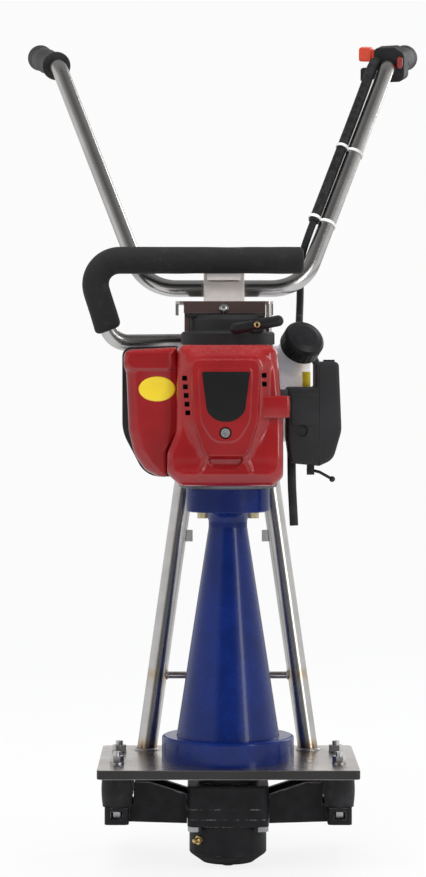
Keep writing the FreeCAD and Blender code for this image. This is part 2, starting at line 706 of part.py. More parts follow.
# ---------------------------------------------------------------- bracket, plate and rubber mounts
def clamp_bracket():
    """Cast bracket: a middle plate for the exciter, two wings with feet, and seats on the board."""
    middle = plan_prism(square(FLANGE_HALF), BRACKET_PLATE_LOW, HEAD_LOW)
    pieces = [middle]
    foot_in = BOARD_BOLT_X / 2 - FOOT_WIDTH / 2
    foot_out = BOARD_BOLT_X / 2 + FOOT_WIDTH / 2
    foot_front = MOUNTS_XY[0][1] - RUBBER_R - 1.0
    seat_front = BOARD_BOLTS_BACK - BOARD_BOLT_Y / 2 - SEAT_MARGIN
    foot_back = BOARD_BOLTS_BACK + BOARD_BOLT_Y / 2 + SEAT_MARGIN
    foot_low = SEAT_Z + FOOT_THICK - 2.0
    root = FLANGE_HALF - 4.0
    tip = foot_in + 0.5
    shoulder = MOUNT_X / 2 - RUBBER_R - RUBBER_BULGE - 1.0
    rib_half = BRACKET_RIB_GAP / 2
    rib_top = PLATE_LOW - BRACKET_RIB_DROP
    for side in (-1, 1):
        left, right = sorted((side * foot_in, side * foot_out))
        pieces.append(plan_prism(
            rectangle(left, right, foot_front, foot_back, FOOT_CORNER), foot_low, RUBBER_LOW))
        pieces.append(plan_prism(
            rectangle(left, right, seat_front, foot_back, FOOT_CORNER), SEAT_Z, SEAT_Z + FOOT_THICK))
        outline = [
            (side * root, BRACKET_PLATE_LOW - FOOT_THICK / 2, 0),
            (side * root, HEAD_LOW + HEAD_HEIGHT / 2, 3.0),
            (side * (foot_in - BRACKET_RIB_SLOPE), rib_top, 8.0),
            (side * shoulder, rib_top, 2.0),
            (side * shoulder, RUBBER_LOW, 0),
            (side * tip, RUBBER_LOW, 0),
            (side * tip, foot_low, 0),
        ]
        for y in (-rib_half, rib_half - BRACKET_RIB):
            pieces.append(front_prism(outline, y, y + BRACKET_RIB))
        pieces.append(front_prism([
            (side * root, BRACKET_PLATE_LOW, 0),
            (side * root, BRACKET_PLATE_LOW + BRACKET_WEB, 0),
            (side * tip, foot_low + BRACKET_WEB, 0),
            (side * tip, foot_low, 0),
        ], -rib_half, rib_half))
    bracket = fuse_all(pieces)
    bracket = bracket.cut(plan_prism(square(FLANGE_HALF + FREE), HEAD_LOW, PLATE_LOW))
    bracket = bracket.cut(plan_prism(square(FLANGE_HALF + FREE), 0, BRACKET_PLATE_LOW))
    bracket = bracket.cut(cyl(SPIGOT_R + FIT, HEAD_LOW, 0, 0, SEAT_Z))
    for x, y in MOUNTS_XY:
        bracket = bracket.cut(cyl(STUD_R + STUD_HOLE_CLEARANCE, PLATE_LOW, x, y, SEAT_Z))
        bracket = bracket.cut(cyl(WASHER_R + 1.0, POCKET_TOP - SEAT_Z + 1.0, x, y, SEAT_Z - 1.0))
        if y < 0:
            bracket = bracket.cut(block(
                (x - POCKET_WINDOW / 2, foot_front - 1.0, BRACKET_PLATE_LOW + 2.0),
                (x + POCKET_WINDOW / 2, y, POCKET_TOP)))
    for x, y in BOARD_BOLTS_XY:
        bracket = bracket.cut(cyl(BOARD_HOLE_R, PLATE_LOW, x, y, SEAT_Z - 1.0))
    for x, y in EXCITER_BOLTS_XY:
        bracket = bracket.cut(cyl(EXCITER_BOLT_R + BOLT_CLEARANCE, HEAD_LOW, x, y, SEAT_Z))
    return bracket


def rubber_mount(x, y):
    """Barrel of rubber between two steel washers."""
    r, b, h = RUBBER_R, RUBBER_BULGE, RUBBER_HEIGHT
    profile = Part.Wire([
        Part.LineSegment(Vector(STUD_R, 0, 0), Vector(r, 0, 0)).toShape(),
        Part.LineSegment(Vector(r, 0, 0), Vector(r, 0, RUBBER_RIM)).toShape(),
        Part.Arc(Vector(r, 0, RUBBER_RIM), Vector(r + b, 0, h / 2), Vector(r, 0, h - RUBBER_RIM)).toShape(),
        Part.LineSegment(Vector(r, 0, h - RUBBER_RIM), Vector(r, 0, h)).toShape(),
        Part.LineSegment(Vector(r, 0, h), Vector(STUD_R, 0, h)).toShape(),
        Part.LineSegment(Vector(STUD_R, 0, h), Vector(STUD_R, 0, 0)).toShape(),
    ])
    body = Part.Face(profile).revolve(Vector(0, 0, 0), Vector(0, 0, 1), 360)
    body.translate(Vector(x, y, RUBBER_LOW))
    return body


def mount_hardware(x, y):
    """Stud through a rubber mount, with a nut and washer above the plate and below the foot."""
    top = PLATE_TOP + WASHER_THICK + NUT_HEIGHT + STUD_TIP
    low_nut = POCKET_TOP - WASHER_THICK - LOW_NUT_HEIGHT
    low = low_nut - 0.5
    parts = [
        cyl(STUD_R, top - low, x, y, low),
        cyl(WASHER_R, WASHER_THICK, x, y, PLATE_TOP),
        hexagon(NUT_FLATS, NUT_HEIGHT, x, y, PLATE_TOP + WASHER_THICK),
        cyl(WASHER_R, WASHER_THICK, x, y, POCKET_TOP - WASHER_THICK),
        hexagon(NUT_FLATS, LOW_NUT_HEIGHT, x, y, low_nut),
    ]
    return fuse_all(parts)


def base_plate():
    """Thick stainless plate that carries the cone and the tube frame."""
    front, back = PLATE_BACK - PLATE_Y / 2, PLATE_BACK + PLATE_Y / 2
    plate = plan_prism(
        rectangle(-PLATE_X / 2, PLATE_X / 2, front, back, PLATE_CORNER), PLATE_LOW, PLATE_TOP)
    plate = fillet_where(plate, PLATE_EDGE, lambda c, e: (
        abs(c.z - PLATE_TOP) < 0.01 or abs(c.z - PLATE_LOW) < 0.01))
    plate = plate.cut(cyl(COUPLING_R + COUPLING_PASS, PLATE_THICK, 0, 0, PLATE_LOW))
    for x, y in MOUNTS_XY:
        plate = plate.cut(cyl(STUD_R + STUD_HOLE_CLEARANCE, PLATE_THICK, x, y, PLATE_LOW))
    return plate


# ---------------------------------------------------------------- exciter
def exciter_pot():
    """Round pot with a tapered chin, that holds the eccentric weight in its oil."""
    flange_low = BRACKET_PLATE_LOW - POT_FLANGE
    outer = revolve([
        (0, CHIN_LOW), (CHIN_R, CHIN_LOW), (CHIN_R + 2, CHIN_LOW + 1.5), (POT_R - 1.5, POT_LOW),
        (POT_R, POT_LOW + 2.0), (POT_R, BRACKET_PLATE_LOW), (0, BRACKET_PLATE_LOW),
    ])
    flange = plan_prism(square(FLANGE_HALF), flange_low, BRACKET_PLATE_LOW)
    pot = outer.fuse(flange).removeSplitter()
    pot = pot.cut(cyl(POT_R - POT_WALL, POT_DEPTH, 0, 0, LOWER_BEARING_LOW + EXCITER_BEARING_WIDTH))
    pot = pot.cut(cyl(EXCITER_BEARING_R, EXCITER_BEARING_WIDTH + 1.0, 0, 0, LOWER_BEARING_LOW))
    for x, y in EXCITER_BOLTS_XY:
        pot = pot.cut(cyl(EXCITER_BOLT_R + BOLT_CLEARANCE, POT_FLANGE, x, y, flange_low))
    return pot.cut(grease_nipple())


def grease_nipple_direction():
    """Unit vector out of the pot along the nipple."""
    turn = math.radians(NIPPLE_TURN)
    return Vector(math.cos(turn), math.sin(turn), 0.0)


def grease_nipple():
    """Brass nipple in the pot's wall: thread, hexagon, neck and barrel head."""
    r, head = NIPPLE_THREAD_R, NIPPLE_BALL_R
    stem = revolve([
        (0, -6.0), (r, -6.0), (r, 3.0), (head - 0.5, 5.0), (head - 0.5, 5.4), (head, 6.2), (head, 8.2),
        (head - 1.1, 9.6), (0, 9.6),
    ])
    nipple = stem.fuse(hexagon(NIPPLE_FLATS, 3.6, 0, 0, -0.6)).removeSplitter()
    out = grease_nipple_direction()
    foot = out * POT_R + Vector(0, 0, POT_LOW + NIPPLE_RISE)
    nipple.Placement = FreeCAD.Placement(foot, FreeCAD.Rotation(Vector(0, 0, 1), out))
    return nipple


def drain_plug():
    """Plug under the pot."""
    foot = CHIN_LOW - DRAIN_PLUG_HEIGHT
    plug = cyl(DRAIN_PLUG_R, DRAIN_PLUG_HEIGHT, 0, 0, foot)
    return fillet_where(plug, 1.2, lambda c, e: c.z < foot + 0.01)


def exciter_head():
    """Upper block with the bearing seat and the neck round the coupling."""
    head = plan_prism(square(FLANGE_HALF), HEAD_LOW, HEAD_TOP)
    head = fillet_where(head, HEAD_EDGE, lambda c, e: abs(c.z - HEAD_TOP) < 0.01)
    neck = cyl(NECK_R, NECK_HEIGHT, 0, 0, HEAD_TOP)
    spigot = cyl(SPIGOT_R, BRACKET_PLATE_THICK, 0, 0, BRACKET_PLATE_LOW)
    head = head.fuse([neck, spigot]).removeSplitter()
    height = HEAD_TOP + NECK_HEIGHT - BRACKET_PLATE_LOW
    head = head.cut(cyl(EXCITER_BEARING_R, EXCITER_BEARING_WIDTH, 0, 0, UPPER_BEARING_LOW))
    head = head.cut(cyl(EXCITER_BEARING_R - BEARING_SHOULDER, height, 0, 0, BRACKET_PLATE_LOW))
    head = head.cut(cyl(COUPLING_R + COUPLING_ROOM, height, 0, 0, HEAD_LOW + COUPLING_RISE))
    for x, y in EXCITER_BOLTS_XY:
        head = head.cut(cyl(EXCITER_BOLT_R, EXCITER_BOLT_BITE + 1.0, x, y, HEAD_LOW))
    return head


def exciter_bolts():
    """Four bolts from below, through pot and bracket into the head."""
    flange_low = BRACKET_PLATE_LOW - POT_FLANGE
    shank = HEAD_LOW + EXCITER_BOLT_BITE - flange_low
    return Part.makeCompound([
        hex_bolt(EXCITER_BOLT_R, EXCITER_BOLT_FLATS, EXCITER_BOLT_HEAD, shank, x, y, flange_low, (0, 0, 1))
        for x, y in EXCITER_BOLTS_XY
    ])


def ball_bearing(outer, inner, width, z):
    """Bearing as two races joined by a sunk cage."""
    mid = (outer + inner) / 2
    half_track = (outer - inner) * 0.175
    depth = width * 0.12
    body = ring(outer, inner, width, z=z)
    for face_z in (z, z + width - depth):
        body = body.cut(ring(mid + half_track, mid - half_track, depth, z=face_z))
    return body


def eccentric_rotor():
    """Shaft with a half-round weight, and the lower coupling jaws."""
    low = LOWER_BEARING_LOW + FREE
    shaft = cyl(EXCITER_SHAFT_R, COUPLING_LOW - low, 0, 0, low)
    hub = cyl(EXCITER_SHAFT_R + 4.0, ROTOR_LENGTH, 0, 0, ROTOR_LOW)
    weight = cyl(ROTOR_R, ROTOR_LENGTH, 0, 0, ROTOR_LOW)
    weight = weight.cut(block((-ROTOR_R, 2.0, ROTOR_LOW), (ROTOR_R, ROTOR_R, ROTOR_LOW + ROTOR_LENGTH)))
    return fuse_all([shaft, hub, weight, coupling_half(COUPLING_LOW, 1)])


def coupling_half(z, up):
    """Hub with jaws that point up (1) or down (-1) from the hub's face at z."""
    hub = cyl(COUPLING_R, HUB_HEIGHT, 0, 0, z if up > 0 else z - HUB_HEIGHT)
    jaw_z = z + HUB_HEIGHT if up > 0 else z - HUB_HEIGHT - JAW_HEIGHT
    sweep = 180.0 / JAW_COUNT - JAW_GAP
    start = 0.0 if up > 0 else 180.0 / JAW_COUNT
    jaws = []
    for i in range(JAW_COUNT):
        jaw = Part.makeCylinder(COUPLING_R, JAW_HEIGHT, Vector(0, 0, jaw_z), Vector(0, 0, 1), sweep)
        jaw = jaw.cut(cyl(SPIDER_CORE_R + FREE, JAW_HEIGHT, 0, 0, jaw_z))
        jaw.rotate(Vector(0, 0, 0), Vector(0, 0, 1), start + 360.0 / JAW_COUNT * i - sweep / 2)
        jaws.append(jaw)
    return fuse_all([hub] + jaws)


def coupling_spider():
    """Rubber star that fills the gaps between the jaws."""
    low = SPIDER_LOW + FREE / 2
    height = JAW_HEIGHT - FREE / 2
    sweep = JAW_GAP - 1.0
    star = [cyl(SPIDER_CORE_R, height, 0, 0, low)]
    for i in range(2 * JAW_COUNT):
        arm = Part.makeCylinder(COUPLING_R - 0.5, height, Vector(0, 0, low), Vector(0, 0, 1), sweep)
        arm.rotate(Vector(0, 0, 0), Vector(0, 0, 1), 180.0 / JAW_COUNT * (i + 0.5) - sweep / 2)
        star.append(arm)
    return fuse_all(star)


# ---------------------------------------------------------------- cone, shaft and clutch
def cone_housing():
    """Tall cone from the base plate to the engine, hollow, with the clutch room at its top."""
    flange_top = PLATE_TOP + CONE_FLANGE_HEIGHT
    neck_top = CONE_TOP_Z + CONE_NECK - 11.0
    outer = Part.Wire([
        Part.makePolygon([Vector(0, 0, PLATE_TOP), Vector(CONE_FLANGE_R, 0, PLATE_TOP),
                          Vector(CONE_FLANGE_R, 0, flange_top - 3.0)]),
        Part.Arc(Vector(CONE_FLANGE_R, 0, flange_top - 3.0),
                 Vector(CONE_FLANGE_R - 0.9, 0, flange_top - 0.9),
                 Vector(CONE_FLANGE_R - 3.0, 0, flange_top)).toShape(),
        Part.makePolygon([Vector(CONE_FLANGE_R - 3.0, 0, flange_top), Vector(CONE_FOOT_R, 0, flange_top),
                          Vector(CONE_TOP_R, 0, CONE_TOP_Z), Vector(CONE_TOP_R, 0, neck_top)]),
        Part.Arc(Vector(CONE_TOP_R, 0, neck_top), Vector(CONE_TOP_R + 3.6, 0, TOP_FLANGE_LOW - 3.6),
                 Vector(CONE_TOP_R + 12.0, 0, TOP_FLANGE_LOW)).toShape(),
        Part.makePolygon([Vector(CONE_TOP_R + 12.0, 0, TOP_FLANGE_LOW),
                          Vector(TOP_FLANGE_R, 0, TOP_FLANGE_LOW), Vector(TOP_FLANGE_R, 0, TOP_FLANGE_TOP),
                          Vector(0, 0, TOP_FLANGE_TOP), Vector(0, 0, PLATE_TOP)]),
    ])
    cone = Part.Face(outer).revolve(Vector(0, 0, 0), Vector(0, 0, 1), 360)
    seat_r = SHAFT_BEARING_R - BEARING_SHOULDER
    inner = revolve([
        (0, PLATE_TOP - 1), (CONE_FOOT_R - CONE_WALL, PLATE_TOP - 1), (CONE_FOOT_R - CONE_WALL, flange_top),
        (seat_r, SHAFT_BEARING_LOW - 4.0), (seat_r, SHAFT_BEARING_LOW), (0, SHAFT_BEARING_LOW),
    ])
    cone = cone.cut(inner)
    cone = cone.cut(cyl(SHAFT_BEARING_R, TOP_FLANGE_TOP - SHAFT_BEARING_LOW, 0, 0, SHAFT_BEARING_LOW))
    cone = cone.cut(cyl(DRUM_R + DRUM_GAP, TOP_FLANGE_HEIGHT, 0, 0, CLUTCH_FLOOR))
    return fillet_where(cone, 1.5, lambda c, e: (
        abs(e.BoundBox.ZMax - TOP_FLANGE_LOW) < 0.01 and abs(e.BoundBox.XMax - TOP_FLANGE_R) < 0.01
        and e.BoundBox.ZMin > TOP_FLANGE_LOW - 0.01))


def drive_shaft():
    """Shaft from the clutch drum to the coupling, with the upper coupling half."""
    hub = coupling_half(UPPER_HUB_TOP, -1)
    shaft = cyl(SHAFT_R, DRUM_LOW - UPPER_HUB_TOP, 0, 0, UPPER_HUB_TOP)
    return shaft.fuse(hub).removeSplitter()


def clutch_drum():
    """Shallow steel cup that the shoes press on."""
    cup = cyl(DRUM_R, DRUM_HEIGHT - DRUM_GAP, 0, 0, DRUM_LOW)
    return cup.cut(cyl(DRUM_R - DRUM_WALL, DRUM_HEIGHT, 0, 0, DRUM_LOW + DRUM_WALL))


def clutch_shoes():
    """Two curved shoes with linings, hung on the arm under the flywheel."""
    top = SHOE_LOW + SHOE_HEIGHT
    arm_low = SHOE_LOW + ARM_RISE
    shoes = ring(SHOE_R, SHOE_R - SHOE_THICK, SHOE_HEIGHT, z=SHOE_LOW)
    shoes = shoes.cut(block((-SHOE_GAP / 2, -SHOE_R, SHOE_LOW), (SHOE_GAP / 2, SHOE_R, top)))
    arm = block((2.0 - SHOE_R, -ARM_WIDTH / 2, arm_low), (SHOE_R - 2.0, ARM_WIDTH / 2, top))
    hub = cyl(CRANK_R + ARM_HUB, top - arm_low, 0, 0, arm_low)
    return fuse_all([arm, hub] + shoes.Solids).cut(cyl(CRANK_R, SHOE_HEIGHT, 0, 0, SHOE_LOW))


def flange_bolts():
    """Zinc bolts under the top flange of the cone."""
    bolts = []
    for i in range(TOP_BOLT_COUNT):
        turn = math.radians(360.0 / TOP_BOLT_COUNT * (i + 0.5) - 90.0)
        x, y = TOP_BOLT_PCD / 2 * math.cos(turn), TOP_BOLT_PCD / 2 * math.sin(turn)
        bolts.append(hexagon(TOP_BOLT_FLATS, TOP_BOLT_HEAD, x, y, TOP_FLANGE_LOW - TOP_BOLT_HEAD))
    return Part.makeCompound(bolts)


# ---------------------------------------------------------------- tube frame
def frame_tube(side):
    """Stainless tube from the plate up to the bridge, with a small tab on its inner side."""
    foot = Vector(side * FRAME_FOOT.x, FRAME_FOOT.y, FRAME_FOOT.z)
    top = Vector(side * FRAME_TOP.x, FRAME_TOP.y, FRAME_TOP.z)
    along = (top - foot).normalize()
    start = foot - along * FRAME_TUBE_R
    length = (top - start).Length + FRAME_TUBE_R
    middle = frame_point(side, TAB_Z)
    left, right = sorted((middle.x, middle.x - side * (FRAME_TUBE_R + TAB_REACH)))
    tab = block((left, middle.y - TAB_THICK / 2, TAB_Z - TAB_HEIGHT / 2),
                (right, middle.y + TAB_THICK / 2, TAB_Z + TAB_HEIGHT / 2))
    tube = Part.makeCylinder(FRAME_TUBE_R, length, start, along).fuse(tab).removeSplitter()
    tube = tube.cut(Part.makeCylinder(FRAME_TUBE_R - FRAME_TUBE_WALL, length, start, along))
    reach = PLATE_X + FRAME_TOP_Y
    return tube.common(block((-reach, -reach, PLATE_TOP), (reach, reach, BRIDGE_Z)))


def frame_point(side, z):
    """Point on a frame tube's centre line at the given height."""
    share = (z - FRAME_FOOT.z) / (FRAME_TOP.z - FRAME_FOOT.z)
    x = FRAME_FOOT.x + (FRAME_TOP.x - FRAME_FOOT.x) * share
    y = FRAME_FOOT.y + (FRAME_TOP.y - FRAME_FOOT.y) * share
    return Vector(side * x, y, z)


def cross_brace():
    """Round bar between the two tubes, behind the cone."""
    left, right = frame_point(-1, BRACE_Z), frame_point(1, BRACE_Z)
    bar = Part.makeCylinder(BRACE_R, right.x - left.x, left, Vector(1, 0, 0))
    for side in (-1, 1):
        foot = frame_point(side, PLATE_TOP)
        along = (frame_point(side, BRACE_Z) - foot).normalize()
        bar = bar.cut(Part.makeCylinder(FRAME_TUBE_R - FRAME_TUBE_WALL / 2, 2 * BRACE_RISE, foot, along))
    return max(bar.Solids, key=lambda s: s.Length)


def tube_frame():
    """Both tubes and the cross brace as one welded piece."""
    return fuse_all([frame_tube(-1), frame_tube(1), cross_brace()])


def clamp_block():
    """Split block on top of the bridge, that grips the handlebar."""
    body = block((BLOCK_LEFT, BLOCK_FRONT, BLOCK_LOW), (BLOCK_RIGHT, BLOCK_BACK, BLOCK_TOP))
    body = fillet_where(body, 2.0, lambda c, e: (
        e.BoundBox.ZLength > BLOCK_HALF or abs(c.z - BLOCK_TOP) < 0.01))
    slot_half = CLAMP_SLOT / 2
    bore = cyl(BAR_R + RUNNING, BLOCK_X, BLOCK_LEFT, HINGE_Y, HINGE_Z, (1, 0, 0))
    slot = block((BLOCK_LEFT, HINGE_Y, HINGE_Z - slot_half), (BLOCK_RIGHT, BLOCK_BACK, HINGE_Z + slot_half))
    body = body.cut(bore).cut(slot)
    hole_r = CLAMP_BOLT_R + BOLT_CLEARANCE
    for x in CLAMP_BOLT_XS:
        body = body.cut(cyl(hole_r, BLOCK_TOP - BLOCK_LOW, x, CLAMP_BOLT_Y, BLOCK_LOW))
    return body


def clamp_bolts():
    """Two socket screws that close the split of the clamp block."""
    screws = []
    for x in CLAMP_BOLT_XS:
        head = cyl(CLAMP_HEAD_R, CLAMP_HEAD, x, CLAMP_BOLT_Y, BLOCK_TOP)
        head = head.cut(hexagon(CLAMP_SOCKET, CLAMP_HEAD / 2, x, CLAMP_BOLT_Y, BLOCK_TOP + CLAMP_HEAD / 2))
        shank = cyl(CLAMP_BOLT_R, BLOCK_TOP - BLOCK_LOW, x, CLAMP_BOLT_Y, BLOCK_LOW)
        screws.append(head.fuse(shank).removeSplitter())
    return Part.makeCompound(screws)


def lift_path():
    """Corner points and bend radii of the lifting handle."""
    points = [
        Vector(LIFT_RIGHT_X, LIFT_Y, LIFT_TOP_Z),
        Vector(LIFT_SIDE_X, LIFT_Y, LIFT_TOP_Z),
        Vector(LIFT_RETURN_X, LIFT_Y + LIFT_RETURN_BACK, LIFT_TOP_Z - LIFT_RETURN_DROP),
        frame_point(-1, LIFT_TOP_Z - LIFT_END_DROP),
    ]
    return points, [0, LIFT_BEND_R, LIFT_RETURN_R, 0]


def lift_saddle():
    """Strip that joins the lifting tube to the front of the clamp block."""
    return block((BLOCK_LEFT + SADDLE_IN, LIFT_Y + 1.0, BLOCK_TOP - SADDLE_LOW),
                 (BLOCK_RIGHT - SADDLE_IN, BLOCK_FRONT, BLOCK_TOP + SADDLE_HIGH))


def lift_handle():
    """Bent lifting tube, welded to the block and to the left frame tube."""
    points, radii = lift_path()
    tube = bent_rod(points, radii, LIFT_TUBE_R).fuse(lift_saddle()).removeSplitter()
    tube = tube.cut(bent_rod(points, radii, LIFT_TUBE_R - BAR_WALL))
    foot, top = frame_point(-1, PLATE_TOP), frame_point(-1, LIFT_TOP_Z)
    tube = tube.cut(Part.makeCylinder(FRAME_TUBE_R, (top - foot).Length, foot, top - foot))
    return max(tube.Solids, key=lambda s: s.Volume)


def lift_foam():
    """Foam sleeve over the lifting tube, slit where the tube is welded to the block."""
    points, radii = lift_path()
    foam_points = [points[0] + Vector(FOAM_OVERHANG, 0, 0)] + points[1:]
    foam = bent_rod(foam_points, radii, FOAM_R)
    foam = foam.cut(bent_rod(points, radii, LIFT_TUBE_R)).cut(lift_saddle())
    before = (points[2] - points[1]).normalize()
    after = (points[3] - points[2]).normalize()
    axis = before.cross(after)
    bend_start = points[2] - before * (LIFT_RETURN_R * math.tan(before.getAngle(after) / 2))
    centre = bend_start + axis.cross(before).normalize() * LIFT_RETURN_R
    turn = FreeCAD.Rotation(axis, FOAM_TURN)
    end = centre + turn.multVec(bend_start - centre)
    rest = Part.makeCylinder(3 * FOAM_R, LIFT_RISE + LIFT_RETURN_DROP, end, turn.multVec(before))
    return max(foam.cut(rest).Solids, key=lambda s: s.Volume)


# ---------------------------------------------------------------- handlebar
def bar_points():
    """Corner points of the handlebar, from the left grip to the right."""
    left = [
        Vector(BAR_MIDDLE_X - GRIP_END_X, GRIP_END_Y, GRIP_END_Z),
        Vector(BAR_MIDDLE_X - LEG_TOP_X, LEG_TOP_Y, LEG_TOP_Z),
        Vector(BAR_MIDDLE_X - BAR_FOOT_X, HINGE_Y, HINGE_Z),
    ]
    right = [Vector(2 * BAR_MIDDLE_X - p.x, p.y, p.z) for p in reversed(left)]
    return left + right


def handlebar():
    """Bent stainless tube: bottom bar, two leaning legs and two grip ends."""
    radii = [0, GRIP_BEND_R, BAR_BEND_R, BAR_BEND_R, GRIP_BEND_R, 0]
    return bent_tube(bar_points(), radii, BAR_R, BAR_WALL)


def grip_axis(side):
    """End point of a grip and the direction from the bend to that end."""
    points = bar_points()
    end = points[0] if side < 0 else points[-1]
    bend = points[1] if side < 0 else points[-2]
    return end, (end - bend).normalize()


def grip(side, length):
    """Rubber grip with a flange at its inner end, closed at its outer end."""
    end, out = grip_axis(side)
    waist = GRIP_R - GRIP_WAIST
    profile = [
        (BAR_R, 0), (GRIP_FLANGE_R - 1, 0), (GRIP_FLANGE_R, 1), (GRIP_FLANGE_R, 3.5),
        (GRIP_FLANGE_R - 2, 5), (GRIP_R, 8), (waist, length * 0.3), (GRIP_R, length * 0.55),
        (waist, length * 0.8),
        (GRIP_R + 0.8, length - 4), (GRIP_R - 2.5, length + 3), (GRIP_R - 9, length + 6), (0, length + 7),
        (0, length), (BAR_R, length),
    ]
    body = revolve(profile)
    body.Placement = FreeCAD.Placement(end - out * length, FreeCAD.Rotation(Vector(0, 0, 1), out))
    return body


# ---------------------------------------------------------------- engine core
def fan_housing():
    """Round housing under the crankcase, open in front to blow air over the fins."""
    low = TOP_FLANGE_TOP
    shell = cyl(FAN_R, FAN_HEIGHT, 0, 0, low)
    shell = fillet_where(shell, 4.0, lambda c, e: abs(c.z - low) < 0.01)
    shell = shell.cut(cyl(FAN_R - FAN_WALL, FAN_HEIGHT, 0, 0, low + FAN_WALL))
    shell = shell.cut(cyl(DRUM_R + DRUM_GAP, FAN_WALL, 0, 0, low))
    mouth = block((-FAN_MOUTH / 2, -FAN_R, low + FAN_SILL), (FAN_MOUTH / 2, -FAN_R / 2, FAN_TOP))
    return shell.cut(mouth)


def flywheel():
    """Cast wheel with curved vanes on its top face."""
    low = TOP_FLANGE_TOP + FAN_WALL + FLYWHEEL_GAP
    top = FAN_TOP - FLYWHEEL_HEADROOM
    disc_top = low + FLYWHEEL_DISC
    wheel = cyl(FLYWHEEL_R, FLYWHEEL_DISC, 0, 0, low)
    hub = cyl(FLYWHEEL_HUB_R, top - low, 0, 0, low)
    rim = ring(FLYWHEEL_R, FLYWHEEL_R - FLYWHEEL_RIM, FLYWHEEL_DISC + FLYWHEEL_RIM, z=low)
    vanes = []
    for i in range(VANE_COUNT):
        vane = block((VANE_START, -VANE_THICK / 2, disc_top - 0.5), (FLYWHEEL_R - 1.0, VANE_THICK / 2, top))
        vane.rotate(Vector(VANE_START, 0, 0), Vector(0, 0, 1), VANE_LEAN)
        vane.rotate(Vector(0, 0, 0), Vector(0, 0, 1), 360.0 / VANE_COUNT * i)
        vanes.append(vane.common(cyl(FLYWHEEL_R, FAN_HEIGHT, 0, 0, low)))
    return fuse_all([wheel, hub, rim] + vanes).cut(cyl(CRANK_R, FAN_HEIGHT, 0, 0, low))


def crankshaft():
    """Crankshaft from the clutch arm to the starter cup, with two webs and the crank pin."""
    low = DRUM_LOW + DRUM_WALL + 2 * SHOE_RISE
    web_low = CRANK_CHAMBER_LOW + WEB_END
    web_top = CRANK_CHAMBER_TOP - WEB_END
    web_r = CRANK_CHAMBER_R - WEB_GAP
    pieces = [
        cyl(CRANK_R, web_low - low, 0, 0, low),
        cyl(CRANK_R, CRANK_TOP - web_top, 0, 0, web_top),
        cyl(PIN_R, web_top - web_low, 0, -CRANK_THROW, web_low),
        cyl(CUP_R, CUP_THICK, 0, 0, CRANK_TOP - CUP_THICK),
    ]
    for z in (web_low, web_top - WEB_THICK):
        web = cyl(web_r, WEB_THICK, 0, 0, z)
        for side in (-1, 1):
            web = web.cut(cyl(CRANK_THROW, WEB_THICK, side * (web_r - 5.0), -CRANK_THROW - 2.0, z))
        pieces.append(web)
    return fuse_all(pieces)


def crankcase():
    """Crankcase with its chamber, cylinder face, ribs, tank lugs and the cable bracket."""
    lower_ring = cyl(FAN_R, CASE_RING, 0, 0, FAN_TOP)
    lower_ring = fillet_where(lower_ring, 2.0, lambda c, e: abs(c.z - FAN_TOP - CASE_RING) < 0.01)
    half = CASE_FACE / 2
    pieces = [
        cyl(CASE_R, CASE_HEIGHT, 0, 0, FAN_TOP),
        lower_ring,
        cyl(CASE_R + CASE_LIP, CASE_TOP_RING, 0, 0, CASE_TOP - CASE_TOP_RING),
        plan_prism(rectangle(-half, half, CYLINDER_FACE, 0, 6.0), CYLINDER_Z - half, CYLINDER_Z + half),
    ]
    for turn in CASE_RIB_TURNS:
        rib = block((CASE_R - CASE_RIB, -CASE_RIB / 2, FAN_TOP),
                    (CASE_R + CASE_RIB_REACH, CASE_RIB / 2, CASE_TOP - 6))
        rib.rotate(Vector(0, 0, 0), Vector(0, 0, 1), turn)
        pieces.append(rib)
    for x in (-LUG_X, LUG_X):
        for z in (TANK_LOW + LUG_RISE, TANK_TOP - LUG_DROP):
            pieces.append(block((x - LUG_SIZE / 2, CASE_R - 12.0, z),
                                (x + LUG_SIZE / 2, TANK_FRONT, z + LUG_HEIGHT)))
    x, y, z = CABLE_END
    eye = BRACKET_EYE
    pieces.append(block((x - eye - 2.0, y - eye, z - eye), (x, y + eye, z + eye)))
    pieces.append(block((CASE_R - eye, y - eye - 2.0, z - eye - 1.0),
                        (x - eye + 2.0, y - eye + 3.0, z + eye + 1.0)))
    case = fuse_all(pieces)
    case = case.cut(cyl(CRANK_CHAMBER_R, CRANK_CHAMBER_TOP - CRANK_CHAMBER_LOW, 0, 0, CRANK_CHAMBER_LOW))
    return case.cut(cyl(CRANK_R + RUNNING, CASE_HEIGHT, 0, 0, FAN_TOP))


def cylinder():
    """Finned barrel, rocker box, and the intake and exhaust ports."""
    half = FIN_SIDE / 2
    pieces = [cyl(BARREL_R, CYLINDER_FACE - CYLINDER_END, 0, CYLINDER_FACE, CYLINDER_Z, (0, -1, 0))]
    fin = around(-half, half, CYLINDER_Z - half, CYLINDER_Z + half, FIN_CORNER)
    for i in range(FIN_COUNT):
        y = CYLINDER_FACE - FIN_START - FIN_PITCH * i
        pieces.append(front_prism(fin, y - FIN_THICK, y))
    rocker = around(-ROCKER_X / 2, ROCKER_X / 2, CYLINDER_Z - ROCKER_Z / 2, CYLINDER_Z + ROCKER_Z / 2, 6.0)
    pieces.append(front_prism(rocker, CYLINDER_END - ROCKER_DEPTH, CYLINDER_END + 1.0))
    for side, port in ((1, PORT_HALF), (-1, EXHAUST_HALF)):
        left, right = sorted((side * (BARREL_R - 6.0), side * INTAKE_X))
        pieces.append(block((left, PORT_Y - port, CYLINDER_Z - port),
                            (right, PORT_Y + port, CYLINDER_Z + port)))
    return fuse_all(pieces)


